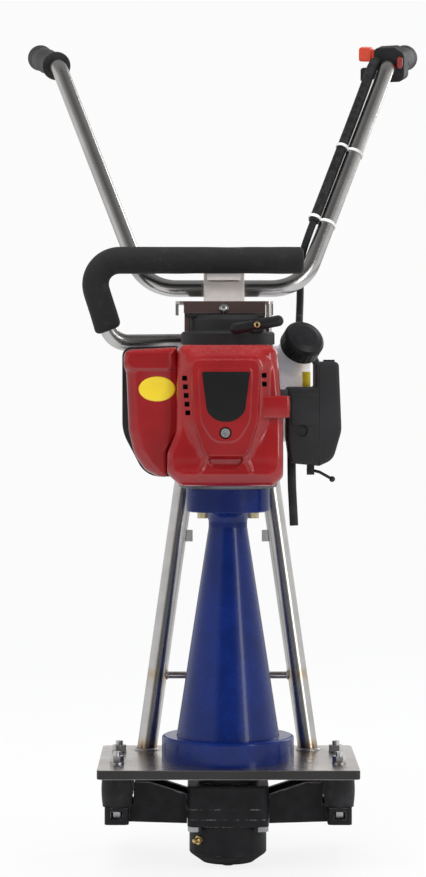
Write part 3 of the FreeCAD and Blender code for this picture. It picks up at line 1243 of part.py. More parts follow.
# ---------------------------------------------------------------- red covers and exhaust
def cover_outline():
    """Front view of the cylinder cover: square at the top, swollen at the lower left."""
    top, low = CYLINDER_Z + COVER_ABOVE, CYLINDER_Z - COVER_BELOW
    left, right = COVER_LEFT, COVER_RIGHT
    return [
        (left, top, 7.0), (right, top, 6.0), (right, low + 9.5, 10.0), (right - 10.5, low, 8.0),
        (left + 1.5, low, 12.0), (left - COVER_SKIRT, low + 13.5, 9.0),
        (left - COVER_SKIRT, low + 32.5, 9.0), (left, low + 55.5, 14.0),
    ]


def panel_outline():
    """Raised panel round the badge: wide at the top, round at the bottom."""
    top, low = CYLINDER_Z + PANEL_ABOVE, CYLINDER_Z - PANEL_BELOW
    left, right, side_low = PANEL_LEFT + PANEL_TAPER, PANEL_RIGHT - PANEL_TAPER, low + 19.0
    return [
        (PANEL_LEFT, top, 6.0), (PANEL_RIGHT, top, 6.0), (right, side_low, 20.0),
        (right - PANEL_ROUND, low, 10.0), (left + PANEL_ROUND, low, 10.0), (left, side_low, 20.0),
    ]


def badge_outline():
    """Bare trapezoid field with a round lower edge."""
    top, low = CYLINDER_Z + BADGE_ABOVE, CYLINDER_Z - BADGE_BELOW
    left, right, side_low = BADGE_LEFT + BADGE_TAPER, BADGE_RIGHT - BADGE_TAPER, low + 9.5
    return [
        (BADGE_LEFT, top, 1.5), (BADGE_RIGHT, top, 1.5), (right, side_low, 14.0),
        (right - BADGE_ROUND, low, 20.0), (left + BADGE_ROUND, low, 20.0), (left, side_low, 14.0),
    ]


def engine_cover():
    """Moulded cover over the cylinder, with the panel, vents, screw pocket and plug tab."""
    outline = cover_outline()
    cover = front_prism(outline, COVER_FRONT, COVER_BACK)
    cover = fillet_where(cover, COVER_EDGE, lambda c, e: abs(e.BoundBox.YMax - COVER_FRONT) < 0.01)
    panel = front_prism(panel_outline(), PANEL_FRONT, COVER_FRONT + 1.0)
    panel = fillet_where(panel, 2.5, lambda c, e: abs(e.BoundBox.YMax - PANEL_FRONT) < 0.01)
    tab_left, tab_right = COVER_RIGHT - 9.5, COVER_RIGHT + TAB_OUT
    tab = front_prism([
        (tab_left, CYLINDER_Z + TAB_HIGH, 0), (tab_right, CYLINDER_Z + TAB_HIGH, 2.5),
        (tab_right, CYLINDER_Z - TAB_LOW, 2.5), (tab_left, CYLINDER_Z - TAB_LOW, 0),
    ], COVER_FRONT + TAB_FRONT, COVER_FRONT + TAB_FRONT + TAB_DEEP)
    cover = fuse_all([cover, panel, tab])
    wall_back = COVER_FRONT + COVER_WALL
    inside = front_prism(outline, wall_back, COVER_BACK + 1.0, grow=-COVER_WALL)
    inside = fillet_where(inside, COVER_EDGE - 2.5, lambda c, e: abs(e.BoundBox.YMax - wall_back) < 0.01)
    cover = cover.cut(inside)
    cover = cover.cut(front_prism(badge_outline(), PANEL_FRONT - 1.0, PANEL_FRONT + BADGE_DEPTH))
    cover = cover.cut(cyl(
        COVER_SCREW_R + COVER_SCREW_ROOM, 6.0, COVER_SCREW_X, PANEL_FRONT - 1.0, COVER_SCREW_Z, (0, 1, 0)))
    scoop_top, scoop_low = CYLINDER_Z - SCOOP_TOP, CYLINDER_Z - SCOOP_LOW
    cover = cover.cut(front_prism([
        (SCOOP_LEFT, scoop_top, 3), (SCOOP_RIGHT, scoop_top, 3),
        (SCOOP_RIGHT - SCOOP_TAPER, scoop_low, 6), (SCOOP_LEFT + SCOOP_TAPER, scoop_low, 6),
    ], COVER_FRONT - 1.0, COVER_FRONT + SCOOP_DEPTH))
    half = VENT_SIDE / 2
    for x, z in vent_places():
        cover = cover.cut(block((x - half, PANEL_FRONT, z - half), (x + half, wall_back + 4.0, z + half)))
    cover = cover.cut(exhaust_opening()).cut(block(
        (COVER_RIGHT - 7.5, PORT_Y - PORT_HALF - 6.0, CYLINDER_Z - PORT_HALF - 6.0),
        (COVER_RIGHT + 2.5, COVER_BACK + 1.0, CYLINDER_Z + PORT_HALF + 4.0)))
    return cover.cut(cyl(FAN_R + FREE, CASE_TOP - TOP_FLANGE_LOW, 0, 0, TOP_FLANGE_LOW))


def vent_places():
    """Middle of each square vent beside the panel, X and Z."""
    left = [(LEFT_VENT_X + VENT_LEAN * i, LEFT_VENT_RISE - VENT_PITCH * i) for i in range(LEFT_VENT_COUNT)]
    right = [(RIGHT_VENT_X, RIGHT_VENT_RISE - VENT_PITCH * i) for i in range(RIGHT_VENT_COUNT)]
    return [(x, CYLINDER_Z + rise) for x, rise in left + right]


def exhaust_opening():
    """Room for the exhaust pipe through both red covers."""
    start = COVER_LEFT - PIPE_R - 7.5
    return cyl(PIPE_R + PIPE_ROOM, 2 * (PIPE_R + PIPE_ROOM) + 1.0, start, PORT_Y, CYLINDER_Z, (1, 0, 0))


def badge_plate():
    """Bare dark field set into the cover's panel."""
    back = PANEL_FRONT + BADGE_DEPTH
    return front_prism(badge_outline(), PANEL_FRONT - BADGE_PROUD, back, grow=-BADGE_GAP)


def cover_screw():
    """Socket screw in the pocket under the badge."""
    front = PANEL_FRONT + FREE
    head = cyl(COVER_SCREW_R, 5.0 - FREE, COVER_SCREW_X, front, COVER_SCREW_Z, (0, 1, 0))
    return head.cut(hexagon(4.0, 2.5, COVER_SCREW_X, front, COVER_SCREW_Z, (0, 1, 0)))


def muffler_outline():
    """Front view of the muffler cover: square at the top, swept in at the lower left."""
    low = CYLINDER_Z - MUFFLER_BELOW
    top = CYLINDER_Z + MUFFLER_ABOVE
    return [(MUFFLER_LEFT, top - 1.5, 8.0), (MUFFLER_RIGHT, top, 3.0), (MUFFLER_RIGHT, low, 3.0),
            (MUFFLER_LEFT + MUFFLER_SWEEP, low, 24.0), (MUFFLER_LEFT, low + MUFFLER_TURN, 44.0)]


def muffler_cover():
    """Red shell over the muffler, open at the back and notched round the cylinder cover."""
    outline = muffler_outline()
    shell = front_prism(outline, MUFFLER_FRONT, MUFFLER_BACK - GUARD_DEPTH)
    shell = fillet_where(shell, MUFFLER_EDGE, lambda c, e: (
        abs(e.BoundBox.YMax - MUFFLER_FRONT) < 0.01 and c.x < MUFFLER_RIGHT - 0.5))
    wall_back = MUFFLER_FRONT + MUFFLER_WALL
    inside = front_prism(outline, wall_back, MUFFLER_BACK, grow=-MUFFLER_WALL)
    inside = fillet_where(inside, MUFFLER_EDGE - MUFFLER_WALL, lambda c, e: (
        abs(e.BoundBox.YMax - wall_back) < 0.01))
    shell = shell.cut(inside).cut(exhaust_opening())
    return shell.cut(front_prism(cover_outline(), COVER_FRONT, COVER_BACK + FREE, grow=2 * FREE))


def muffler_guard():
    """Dark heat guard behind the red shell, standing a little proud of it."""
    outline = muffler_outline()
    front = MUFFLER_BACK - GUARD_DEPTH
    guard = front_prism(outline, front, MUFFLER_BACK, grow=GUARD_PROUD)
    guard = fillet_where(guard, 2.0, lambda c, e: abs(e.BoundBox.YMin - MUFFLER_BACK) < 0.01)
    guard = guard.cut(front_prism(outline, front, MUFFLER_BACK - GUARD_FLOOR, grow=-4.0))
    slot_left, slot_right = MUFFLER_LEFT + 12.5, MUFFLER_RIGHT - 14.5
    for i in range(GUARD_SLOT_COUNT):
        z = CYLINDER_Z - MUFFLER_BELOW + 29.0 + GUARD_SLOT_PITCH * i
        guard = guard.cut(block((slot_left, front, z), (slot_right, MUFFLER_BACK, z + GUARD_SLOT)))
    return guard.cut(block((MUFFLER_RIGHT - 0.5, front, FAN_TOP - FAN_HEIGHT),
                           (0, MUFFLER_BACK, CASE_TOP + CASE_RING)))


def muffler():
    """Pressed steel muffler with its seam, inlet pipe and outlet."""
    left, right = MUFFLER_LEFT + CAN_IN, MUFFLER_RIGHT - CAN_IN - 3.0
    outline = [
        (left, CYLINDER_Z + CAN_LOW_RIGHT, 9), (right, CYLINDER_Z + CAN_LOW_RIGHT, 9),
        (right, CYLINDER_Z - CAN_LOW_RIGHT, 9), (left, CYLINDER_Z - CAN_LOW_LEFT, 20),
    ]
    can = front_prism(outline, CAN_FRONT, CAN_BACK)
    can = fillet_where(can, CAN_EDGE, lambda c, e: c.y < CAN_FRONT + 0.1 or c.y > CAN_BACK - 0.1)
    seam_y = (CAN_FRONT + CAN_BACK) / 2
    seam = front_prism(outline, seam_y - SEAM_HALF, seam_y + SEAM_HALF, grow=SEAM_PROUD)
    inlet = cyl(PIPE_R, -INTAKE_X - right + 2.0, right - 2.0, PORT_Y, CYLINDER_Z, (1, 0, 0))
    outlet = ring(OUTLET_R, OUTLET_R - OUTLET_WALL, OUTLET_LENGTH, left + 20.0, CAN_BACK - 2.0,
                  CYLINDER_Z - CAN_LOW_LEFT + 8.0, (0, 1, 0))
    return fuse_all([can, seam, inlet, outlet])


# ---------------------------------------------------------------- intake side
def air_outline():
    """Front view of the air cleaner: narrow at the top, rounded at the lower right."""
    top, step = CYLINDER_Z + AIR_ABOVE, CYLINDER_Z + AIR_STEP
    return [
        (AIR_NECK_X, top, 4.0), (AIR_RIGHT, top, 5.0), (AIR_RIGHT + AIR_BULGE, AIR_HINGE_Z + 33.0, 30.0),
        (AIR_RIGHT - 6.0, AIR_HINGE_Z + 2.0, 16.0), (AIR_SPLIT_X, AIR_HINGE_Z - 5.0, 3.0),
        (AIR_LEFT + 3.5, AIR_HINGE_Z - 2.0, 8.0), (AIR_LEFT, AIR_HINGE_Z + 23.0, 8.0),
        (AIR_LEFT, step, 4.0), (AIR_NECK_X, step, 2.0),
    ]


def air_shape():
    """Whole outer form of the air cleaner."""
    shape = front_prism(air_outline(), AIR_FRONT, AIR_BACK)
    return fillet_where(shape, AIR_EDGE, lambda c, e: c.x > AIR_SPLIT_X + 2.0 and (
        abs(e.BoundBox.YMax - AIR_FRONT) < 0.01 or abs(e.BoundBox.YMin - AIR_BACK) < 0.01))


def air_cleaner_base():
    """Inner half of the air cleaner, with the lighter panel, the screw pocket and the choke lug."""
    base = air_side(-1)
    left, right = AIR_LEFT + AIR_PANEL_IN, AIR_SPLIT_X - 5.0
    panel = front_prism(around(left, right, AIR_HINGE_Z + 39.0, AIR_HINGE_Z + 72.0, 2.0),
                        AIR_FRONT - AIR_PANEL_PROUD, AIR_FRONT + 1.0)
    x, y, z = CHOKE_PIVOT
    lug = block((x - 4.0, y - 9.0, z - 5.0), (x + 4.0, y - 4.0, AIR_HINGE_Z))
    base = fuse_all([base, panel, lug])
    base = base.cut(cyl(7.0, 5.0, AIR_LEFT + 16.0, AIR_FRONT - 2.0, AIR_HINGE_Z + 33.0, (0, 1, 0)))
    base = base.cut(filter_block(AIR_SPLIT_X))
    base = base.cut(breather_hose())
    return base.cut(cyl(CHOKE_PIN_R + RUNNING, 20.0, x, y - 15.0, z, (0, 1, 0)))


def air_side(side):
    """The air cleaner's form to the left (-1) or right (1) of its split."""
    reach = AIR_BACK - AIR_FRONT
    split = AIR_SPLIT_X + side * FREE / 2
    left, right = sorted((split, split + side * reach))
    return air_shape().fuse(air_latch()).removeSplitter().common(
        block((left, AIR_FRONT - 1.0, FAN_TOP - FAN_HEIGHT), (right, AIR_BACK + 1.0, CASE_TOP)))


def air_latch():
    """Small catch on top of the air cleaner's cover."""
    top = CYLINDER_Z + AIR_ABOVE
    half = LATCH_WIDTH / 2
    middle = (AIR_FRONT + AIR_BACK) / 2
    return block((LATCH_X - half, middle - half, top - LATCH_RISE),
                 (LATCH_X + half, middle + half, top + LATCH_RISE))


def filter_block(right):
    """Room or element of the filter, up to the given X."""
    return block((FILTER_LEFT, AIR_FRONT + FILTER_WALL, CYLINDER_Z - FILTER_BELOW),
                 (right, AIR_BACK - FILTER_WALL, CYLINDER_Z + FILTER_ABOVE))


def air_filter():
    """Foam filter element that fills its room in the base."""
    return filter_block(AIR_SPLIT_X - 1.0)


def air_cleaner_cover():
    """Outer half of the air cleaner, a hollow shell that swings down and out."""
    inner = front_prism(air_outline(), AIR_FRONT + AIR_WALL, AIR_BACK - AIR_WALL, grow=-AIR_WALL)
    return air_side(1).cut(inner)


def choke_lever():
    """Thin bent lever under the air cleaner, with a pin and a small knob."""
    pivot = Vector(*CHOKE_PIVOT)
    knob = pivot + Vector(*CHOKE_KNOB)
    points = [pivot, pivot + Vector(10.0, 0, -2.5), knob]
    pieces = [cyl(CHOKE_PIN_R, 14.0, pivot.x, pivot.y - 12.0, pivot.z, (0, 1, 0)),
              cyl(2 * CHOKE_PIN_R, 4.0, pivot.x, pivot.y - 2.0, pivot.z, (0, 1, 0))]
    for here, there in zip(points, points[1:]):
        run = there - here
        pieces.append(Part.makeCylinder(CHOKE_ROD_R, run.Length, here, run))
    pieces.append(Part.makeSphere(CHOKE_ROD_R, points[1]))
    pieces.append(Part.makeSphere(CHOKE_KNOB_R, knob))
    return fuse_all(pieces)


def carburettor():
    """Carburettor body between the intake port and the air cleaner."""
    flange = INTAKE_X + 4.0
    insulator = block((INTAKE_X, PORT_Y - CARB_HALF - 1.0, CYLINDER_Z - CARB_HALF),
                      (flange, PORT_Y + CARB_HALF + 1.0, CYLINDER_Z + CARB_HALF))
    bowl = block((flange, PORT_Y - CARB_HALF, CYLINDER_Z - CARB_BOWL),
                 (AIR_LEFT, PORT_Y + CARB_BACK, CYLINDER_Z + CARB_TOP))
    return fuse_all([insulator, bowl])


def tank_box(inset):
    """The tank's body, moved in by a distance on every side."""
    left, right, low, top = TANK_LEFT, TANK_RIGHT, TANK_LOW, TANK_TOP
    front, back = TANK_FRONT + inset, TANK_BACK - inset
    body = front_prism([(left, top, 16), (right, top, 16), (right, low, 14), (left, low, 14)],
                       front, back, grow=-inset)
    return fillet_where(body, TANK_EDGE - inset, lambda c, e: c.y < front + 0.01 or c.y > back - 0.01)


def fuel_tank():
    """Blow-moulded tank behind the crankcase, with its slanted filler neck."""
    base, axis = neck_axis()
    swell = Part.makeCone(SWELL_R, FUEL_NECK_R, SWELL_LENGTH, base - axis * SWELL_SUNK, axis)
    neck = Part.makeCylinder(FUEL_NECK_R - NECK_STEP, NECK_LENGTH, base, axis)
    seam_z = (TANK_LOW + TANK_HEIGHT / 2)
    seam = front_prism(around(TANK_LEFT - 1.0, TANK_RIGHT + 1.0, seam_z - 1.2, seam_z + 1.2, 1),
                       TANK_FRONT + 10.0, TANK_BACK - 10.0)
    tank = fuse_all([tank_box(0.0), swell, neck, seam])
    bore = Part.makeCylinder(FUEL_NECK_R - 2 * NECK_STEP, NECK_LENGTH + 24.0, base - axis * 10.0, axis)
    return tank.cut(tank_box(TANK_WALL)).cut(bore)


def neck_axis():
    """Foot and direction of the filler neck: up, to the right and towards the front."""
    foot = Vector(TANK_RIGHT - NECK_IN, TANK_FRONT + NECK_BACK, TANK_TOP - NECK_DROP)
    return foot, Vector(*NECK_DIRECTION).normalize()


def fuel_cap():
    """Round ribbed cap with a domed top, hollow over the neck."""
    base, axis = neck_axis()
    foot = base + axis * (SWELL_LENGTH - SWELL_SUNK + FREE)
    bore, high = FUEL_NECK_R - NECK_STEP + FREE, FUEL_CAP_HEIGHT
    cap = revolve([
        (bore, 0), (FUEL_CAP_R, 0), (FUEL_CAP_R, high - 5), (FUEL_CAP_R - 3, high - 1.2),
        (FUEL_CAP_R - 10, high + 1.2), (0, high + 2), (0, high - 3), (bore, high - 3),
    ])
    grooves = []
    for i in range(FUEL_CAP_RIBS):
        groove = cyl(0.9, high - 5, FUEL_CAP_R + 0.3, 0, 1.5)
        groove.rotate(Vector(0, 0, 0), Vector(0, 0, 1), 360.0 / FUEL_CAP_RIBS * i)
        grooves.append(groove)
    cap = cap.cut(Part.makeCompound(grooves))
    cap.Placement = FreeCAD.Placement(foot, FreeCAD.Rotation(Vector(0, 0, 1), axis))
    return cap


def fuel_fitting():
    """Yellow elbow on the tank's front face, for the fuel line."""
    x, y = TANK_RIGHT - FITTING_IN, TANK_FRONT - FITTING_OUT
    low = TANK_TOP - FITTING_DROP
    points = [Vector(x, TANK_FRONT, low), Vector(x, y, low), Vector(x, y, low + FITTING_HEIGHT)]
    return bent_rod(points, [0, 6.0, 0], FUEL_HOSE_R)


def breather_hose():
    """Drain hose that hangs from the air cleaner, open at its lower end."""
    points = [Vector(*p) for p in HOSE_POINTS]
    return bent_rod(points, cord_radii(points), HOSE_R)


def cord_radii(points):
    """Arc at each inner point of a cord: 0.45 of the shorter run over the tangent of half the turn."""
    radii = [0]
    for before, here, after in zip(points, points[1:], points[2:]):
        first, second = here - before, after - here
        turn = first.getAngle(second)
        radii.append(0.45 * min(first.Length, second.Length) / math.tan(turn / 2))
    return radii + [0]


# ---------------------------------------------------------------- recoil starter and top bridge
def recoil_housing():
    """Black starter housing: ring, drum with slots, hub post and rope eye."""
    ring_top = RECOIL_RING_TOP
    outer = revolve([
        (0, CASE_TOP), (RECOIL_RING_R, CASE_TOP), (RECOIL_RING_R, ring_top - 2),
        (RECOIL_RING_R - 2, ring_top), (RECOIL_R + 1, ring_top), (RECOIL_R, ring_top + 2),
        (RECOIL_R, RECOIL_TOP - 5),
        (RECOIL_R - 4, RECOIL_TOP), (0, RECOIL_TOP),
    ])
    boss = block((ROPE_X - 7, 2.0 - RECOIL_RING_R, ring_top - 1),
                 (ROPE_X + 7, -RECOIL_R * 0.55, ROPE_Z + 6))
    eye_front = GRIP_BAR_Y + GRIP_BOSS_BACK + FREE
    eye = cyl(5.0, 8.0 - RECOIL_RING_R - eye_front, ROPE_X, eye_front, ROPE_Z, (0, 1, 0))
    housing = fuse_all([outer, boss, eye])
    housing = housing.cut(cyl(RECOIL_R - RECOIL_WALL, RECOIL_HEIGHT - RECOIL_WALL, 0, 0, CASE_TOP))
    housing = housing.cut(cyl(ROPE_R + ROPE_ROOM, -eye_front, ROPE_X, eye_front - 1.0, ROPE_Z, (0, 1, 0)))
    post_low = ROPE_Z - REEL_THICK / 2
    post = cyl(REEL_POST_R, RECOIL_TOP - RECOIL_WALL - post_low, 0, 0, post_low)
    housing = housing.fuse(post).removeSplitter()
    slots = []
    for i in range(RECOIL_SLOTS):
        slot = block((RECOIL_SLOT_START, -RECOIL_SLOT / 2, RECOIL_TOP - 6),
                     (RECOIL_R - 9.0, RECOIL_SLOT / 2, RECOIL_TOP))
        slot.rotate(Vector(0, 0, 0), Vector(0, 0, 1), 360.0 / RECOIL_SLOTS * (i + 0.5))
        slots.append(slot)
    return housing.cut(Part.makeCompound(slots))


def starter_reel():
    """Reel with its rope groove, turning on the housing's post."""
    low = ROPE_Z - REEL_THICK / 2
    reel = cyl(REEL_R, REEL_THICK, 0, 0, low)
    reel = reel.cut(ring(REEL_R, REEL_GROOVE_R, REEL_THICK - 2 * REEL_FLANGE, z=low + REEL_FLANGE))
    reel = reel.cut(cyl(REEL_POST_R + RUNNING, REEL_THICK, 0, 0, low))
    for i in range(3):
        turn = math.radians(120 * i)
        x, y = REEL_HOLE_PLACE * math.cos(turn), REEL_HOLE_PLACE * math.sin(turn)
        reel = reel.cut(cyl(REEL_HOLE_R, REEL_THICK, x, y, low))
    return reel


def starter_rope():
    """Stretch of rope from the reel to the knot in the grip."""
    return cyl(ROPE_R, -GRIP_BAR_Y - 2.0, ROPE_X, -2.0, ROPE_Z, (0, -1, 0))


def starter_grip():
    """Moulded pull bar with a swelling in the middle for the rope knot."""
    tilt = math.radians(GRIP_BAR_TILT)
    along = Vector(math.cos(tilt), 0, math.sin(tilt))
    middle = Vector(ROPE_X, GRIP_BAR_Y, ROPE_Z)
    half = GRIP_BAR_LENGTH / 2 - GRIP_BAR_R
    bar = Part.makeCylinder(GRIP_BAR_R, 2 * half, middle - along * half, along)
    ends = [Part.makeSphere(GRIP_BAR_R, middle + along * (side * half)) for side in (-1, 1)]
    boss = cyl(GRIP_BOSS_R, GRIP_BOSS_BACK + 4.0, ROPE_X, GRIP_BAR_Y - 4.0, ROPE_Z, (0, 1, 0))
    grip = fuse_all([bar, boss] + ends)
    return grip.cut(cyl(ROPE_R, 2 * GRIP_BOSS_BACK, ROPE_X, GRIP_BAR_Y, ROPE_Z, (0, 1, 0)))


def top_bridge():
    """Pressed steel bridge on four posts over the starter, that carries the clamp block."""
    back_left = BAR_MIDDLE_X - BRIDGE_BACK_HALF
    back_right = BAR_MIDDLE_X + BRIDGE_BACK_HALF
    pieces = [plan_prism([
        (BRIDGE_LEFT, BRIDGE_FRONT, 6), (BRIDGE_RIGHT, BRIDGE_FRONT, 6),
        (BRIDGE_RIGHT, BRIDGE_SHOULDER, 10), (back_right, BLOCK_BACK, 6),
        (back_left, BLOCK_BACK, 6), (BRIDGE_LEFT, BRIDGE_SHOULDER, 10),
    ], BRIDGE_Z, BLOCK_LOW)]
    for x in (BRIDGE_LEFT, BRIDGE_RIGHT - BRIDGE_THICK):
        pieces.append(block((x, BRIDGE_FRONT + BRIDGE_SIDE_IN, BRIDGE_Z - BRIDGE_SIDE),
                            (x + BRIDGE_THICK, BRIDGE_SHOULDER - BRIDGE_SIDE_IN, BRIDGE_Z + 1)))
    pieces.append(block((BRIDGE_LEFT + BRIDGE_LIP_IN, BRIDGE_FRONT, BRIDGE_Z - BRIDGE_LIP),
                        (BRIDGE_RIGHT - BRIDGE_LIP_IN, BRIDGE_FRONT + BRIDGE_THICK, BRIDGE_Z + 1)))
    radius = (RECOIL_R + RECOIL_RING_R) / 2 + 0.7
    for turn in BRIDGE_POST_TURNS:
        x, y = radius * math.cos(math.radians(turn)), radius * math.sin(math.radians(turn))
        pieces.append(cyl(BRIDGE_POST_R, BRIDGE_Z - RECOIL_RING_TOP, x, y, RECOIL_RING_TOP))
    return fuse_all(pieces)


# ---------------------------------------------------------------- controls on the right grip
def grip_frame():
    """Bend point, and unit vectors along the right grip, inwards and up."""
    points = bar_points()
    bend, end = points[-2], points[-1]
    along = (end - bend).normalize()
    inward = Vector(-1, 0, 0)
    inward = (inward - along * inward.dot(along)).normalize()
    return bend, along, inward, along.cross(inward)


def on_grip(shape):
    """Place a shape drawn with X inwards, Y up and Z along the grip, on the right grip."""
    bend, along, inward, up = grip_frame()
    placed = shape.copy()
    placed.Placement = FreeCAD.Placement(FreeCAD.Matrix(
        inward.x, up.x, along.x, bend.x,
        inward.y, up.y, along.y, bend.y,
        inward.z, up.z, along.z, bend.z,
        0, 0, 0, 1))
    return placed


def throttle_housing():
    """Clamshell round the bar, with the lever pin, rooms for lever and latch, and the end ring."""
    low, high = HOUSING_START, HOUSING_START + HOUSING_LENGTH
    shell = plan_prism([
        (-18.5, -18, 8), (14, -20, 5), (18.5, -14, 3), (18.5, 21, 5), (-6, 23, 8), (-18.5, 15, 7),
    ], low, high)
    shell = fillet_where(shell, 2.0, lambda c, e: abs(c.z - low) < 0.01 or abs(c.z - high) < 0.01)
    bend, _, _, _ = grip_frame()
    grip_start = (bar_points()[-1] - bend).Length - RIGHT_GRIP_LENGTH
    end_ring = cyl(GRIP_FLANGE_R - 1.0, grip_start - high, 0, 0, high)
    shell = shell.fuse(end_ring).removeSplitter()
    shell = shell.cut(cyl(BAR_R, grip_start, 0, 0, 0))
    room_r = LEVER_HUB_R + LEVER_ROOM
    for up, half in ((LEVER_UP, LEVER_HALF + FREE), (LATCH_UP, LATCH_HALF + FREE)):
        shell = shell.cut(cyl(room_r, 2 * half, LEVER_X, up - half, LEVER_Z, (0, 1, 0)))
    pin_low = LATCH_UP - PIN_UNDER
    pin = cyl(LEVER_PIN_R, LEVER_UP + PIN_OVER - pin_low, LEVER_X, pin_low, LEVER_Z, (0, 1, 0))
    shell = shell.fuse(pin).removeSplitter()
    shell = shell.cut(cyl(BUTTON_STEM_R + RUNNING, 10.0, BUTTON_IN - 0.1, BUTTON_UP, low - 1.0))
    return on_grip(shell)


def throttle_lever():
    """Thumb lever on the pin, with the orange pad."""
    lever = lever_on_pin(LEVER_UP, LEVER_HALF, PAD_SIZE, PAD_DEPTH, 5.5, 0.5)
    return on_grip(lever)


def lever_on_pin(up, hub_half, size, depth, pad_half, shift):
    """Hub, arm and pad of a lever that turns on the pin; the pad is moved back by shift."""
    x, z = LEVER_X, LEVER_Z
    hub = cyl(LEVER_HUB_R, 2 * hub_half, x, up - hub_half, z, (0, 1, 0))
    arm_y, arm_z = hub_half - 1.25 - shift / 2, 3.0 + shift
    arm = block((x, up - arm_y, z - arm_z), (LEVER_IN + 3.0 + 2 * shift, up + arm_y, z + arm_z))
    front = z - pad_half - shift
    pad = plan_prism(rectangle(LEVER_IN, LEVER_IN + depth, up - size / 2, up + size / 2, 2.5 + shift),
                     front, z + pad_half - shift)
    pad = fillet_where(pad, 1.5, lambda c, e: abs(c.z - front) < 0.01)
    bore = cyl(LEVER_PIN_R + RUNNING, 4 * hub_half, x, up - 2 * hub_half, z, (0, 1, 0))
    return fuse_all([hub, arm, pad]).cut(bore)


def throttle_latch():
    """Small lever under the throttle lever on the same pin, black with a red face."""
    return on_grip(lever_on_pin(LATCH_UP, LATCH_HALF, LATCH_PAD_SIZE, LATCH_PAD_DEPTH, 4.5, 0.0))


def stop_button():
    """Oval push button on a stem, on the front of the housing."""
    back = HOUSING_START - BUTTON_TRAVEL - FREE
    front = back - BUTTON_THICK
    half = BUTTON_HALF
    outline = rectangle(BUTTON_IN - half, BUTTON_IN + half, BUTTON_UP - 7.8, BUTTON_UP + 6.2, half - 0.1)
    face = plan_prism(outline, front, back)
    face = fillet_where(face, 1.0, lambda c, e: abs(c.z - front) < 0.01)
    stem = cyl(BUTTON_STEM_R, 8.0, BUTTON_IN - 0.1, BUTTON_UP, back - 0.5)
    return on_grip(face.fuse(stem).removeSplitter())


# ---------------------------------------------------------------- throttle conduit
def leg_point(z):
    """Point on the right leg's centre line at a height."""
    points = bar_points()
    top, foot = points[-2], points[-3]
    share = (z - foot.z) / (top.z - foot.z)
    return foot + (top - foot) * share


def conduit_offset():
    """From the leg's axis to the conduit's: inwards and a little to the front."""
    points = bar_points()
    along = (points[-2] - points[-3]).normalize()
    side = Vector(-1.0, -0.45, 0)
    side = (side - along * side.dot(along)).normalize()
    return side * CONDUIT_OFFSET


def conduit_route():
    """Hand-set route of the throttle cable: housing, leg, round the hinge, down to the engine."""
    off = conduit_offset()
    bend, along, inward, up = grip_frame()
    entry = bend + along * HOUSING_START + inward * 15.4 + up * 5.2
    leg_top, leg_low = leg_point(HINGE_Z + CONDUIT_LEG_TOP) + off, leg_point(HINGE_Z + CONDUIT_LEG_LOW) + off
    upper = [entry, entry - along * 20.0, leg_top, leg_low]
    leg = (leg_top - leg_low).normalize()
    hinge, end = Vector(BAR_MIDDLE_X + BAR_FOOT_X, HINGE_Y, HINGE_Z), Vector(*CABLE_END)
    loop = [leg_low, leg_low - leg * 20.0] + [hinge + Vector(*place) for place in LOOP_FROM_HINGE]
    fall = (loop[-1] - loop[-2]).normalize()
    lower = [loop[-1], loop[-1] + fall * 25.0] + [end + Vector(*place) for place in FALL_FROM_END] + [end]
    return upper, loop, lower


def conduit_upper():
    """Ribbed conduit along the leg, moving with the handlebar."""
    upper, _, _ = conduit_route()
    return bent_rod(upper, cord_radii(upper), CONDUIT_R)


def conduit_loop():
    """Free bight of the cable behind the hinge."""
    _, loop, _ = conduit_route()
    return bent_rod(loop, cord_radii(loop), CABLE_R)


def conduit_lower():
    """Cable from the bight down to the throttle bracket of the carburettor."""
    _, _, lower = conduit_route()
    return bent_rod(lower, cord_radii(lower), CABLE_R)


def cable_ties():
    """Two narrow ties round conduit and leg."""
    points = bar_points()
    along = (points[-2] - points[-3]).normalize()
    off = conduit_offset()
    ties = []
    for rise in TIE_RISES:
        middle = leg_point(HINGE_Z + rise)
        band = Part.makeCylinder(BAR_R + TIE_THICK, TIE_WIDTH, middle, along)
        band = band.fuse(Part.makeCylinder(CONDUIT_R + TIE_THICK, TIE_WIDTH, middle + off, along))
        for point, radius in ((middle, BAR_R), (middle + off, CONDUIT_R)):
            band = band.cut(Part.makeCylinder(radius, TIE_WIDTH, point, along))
        ties.append(band)
    return Part.makeCompound(ties)


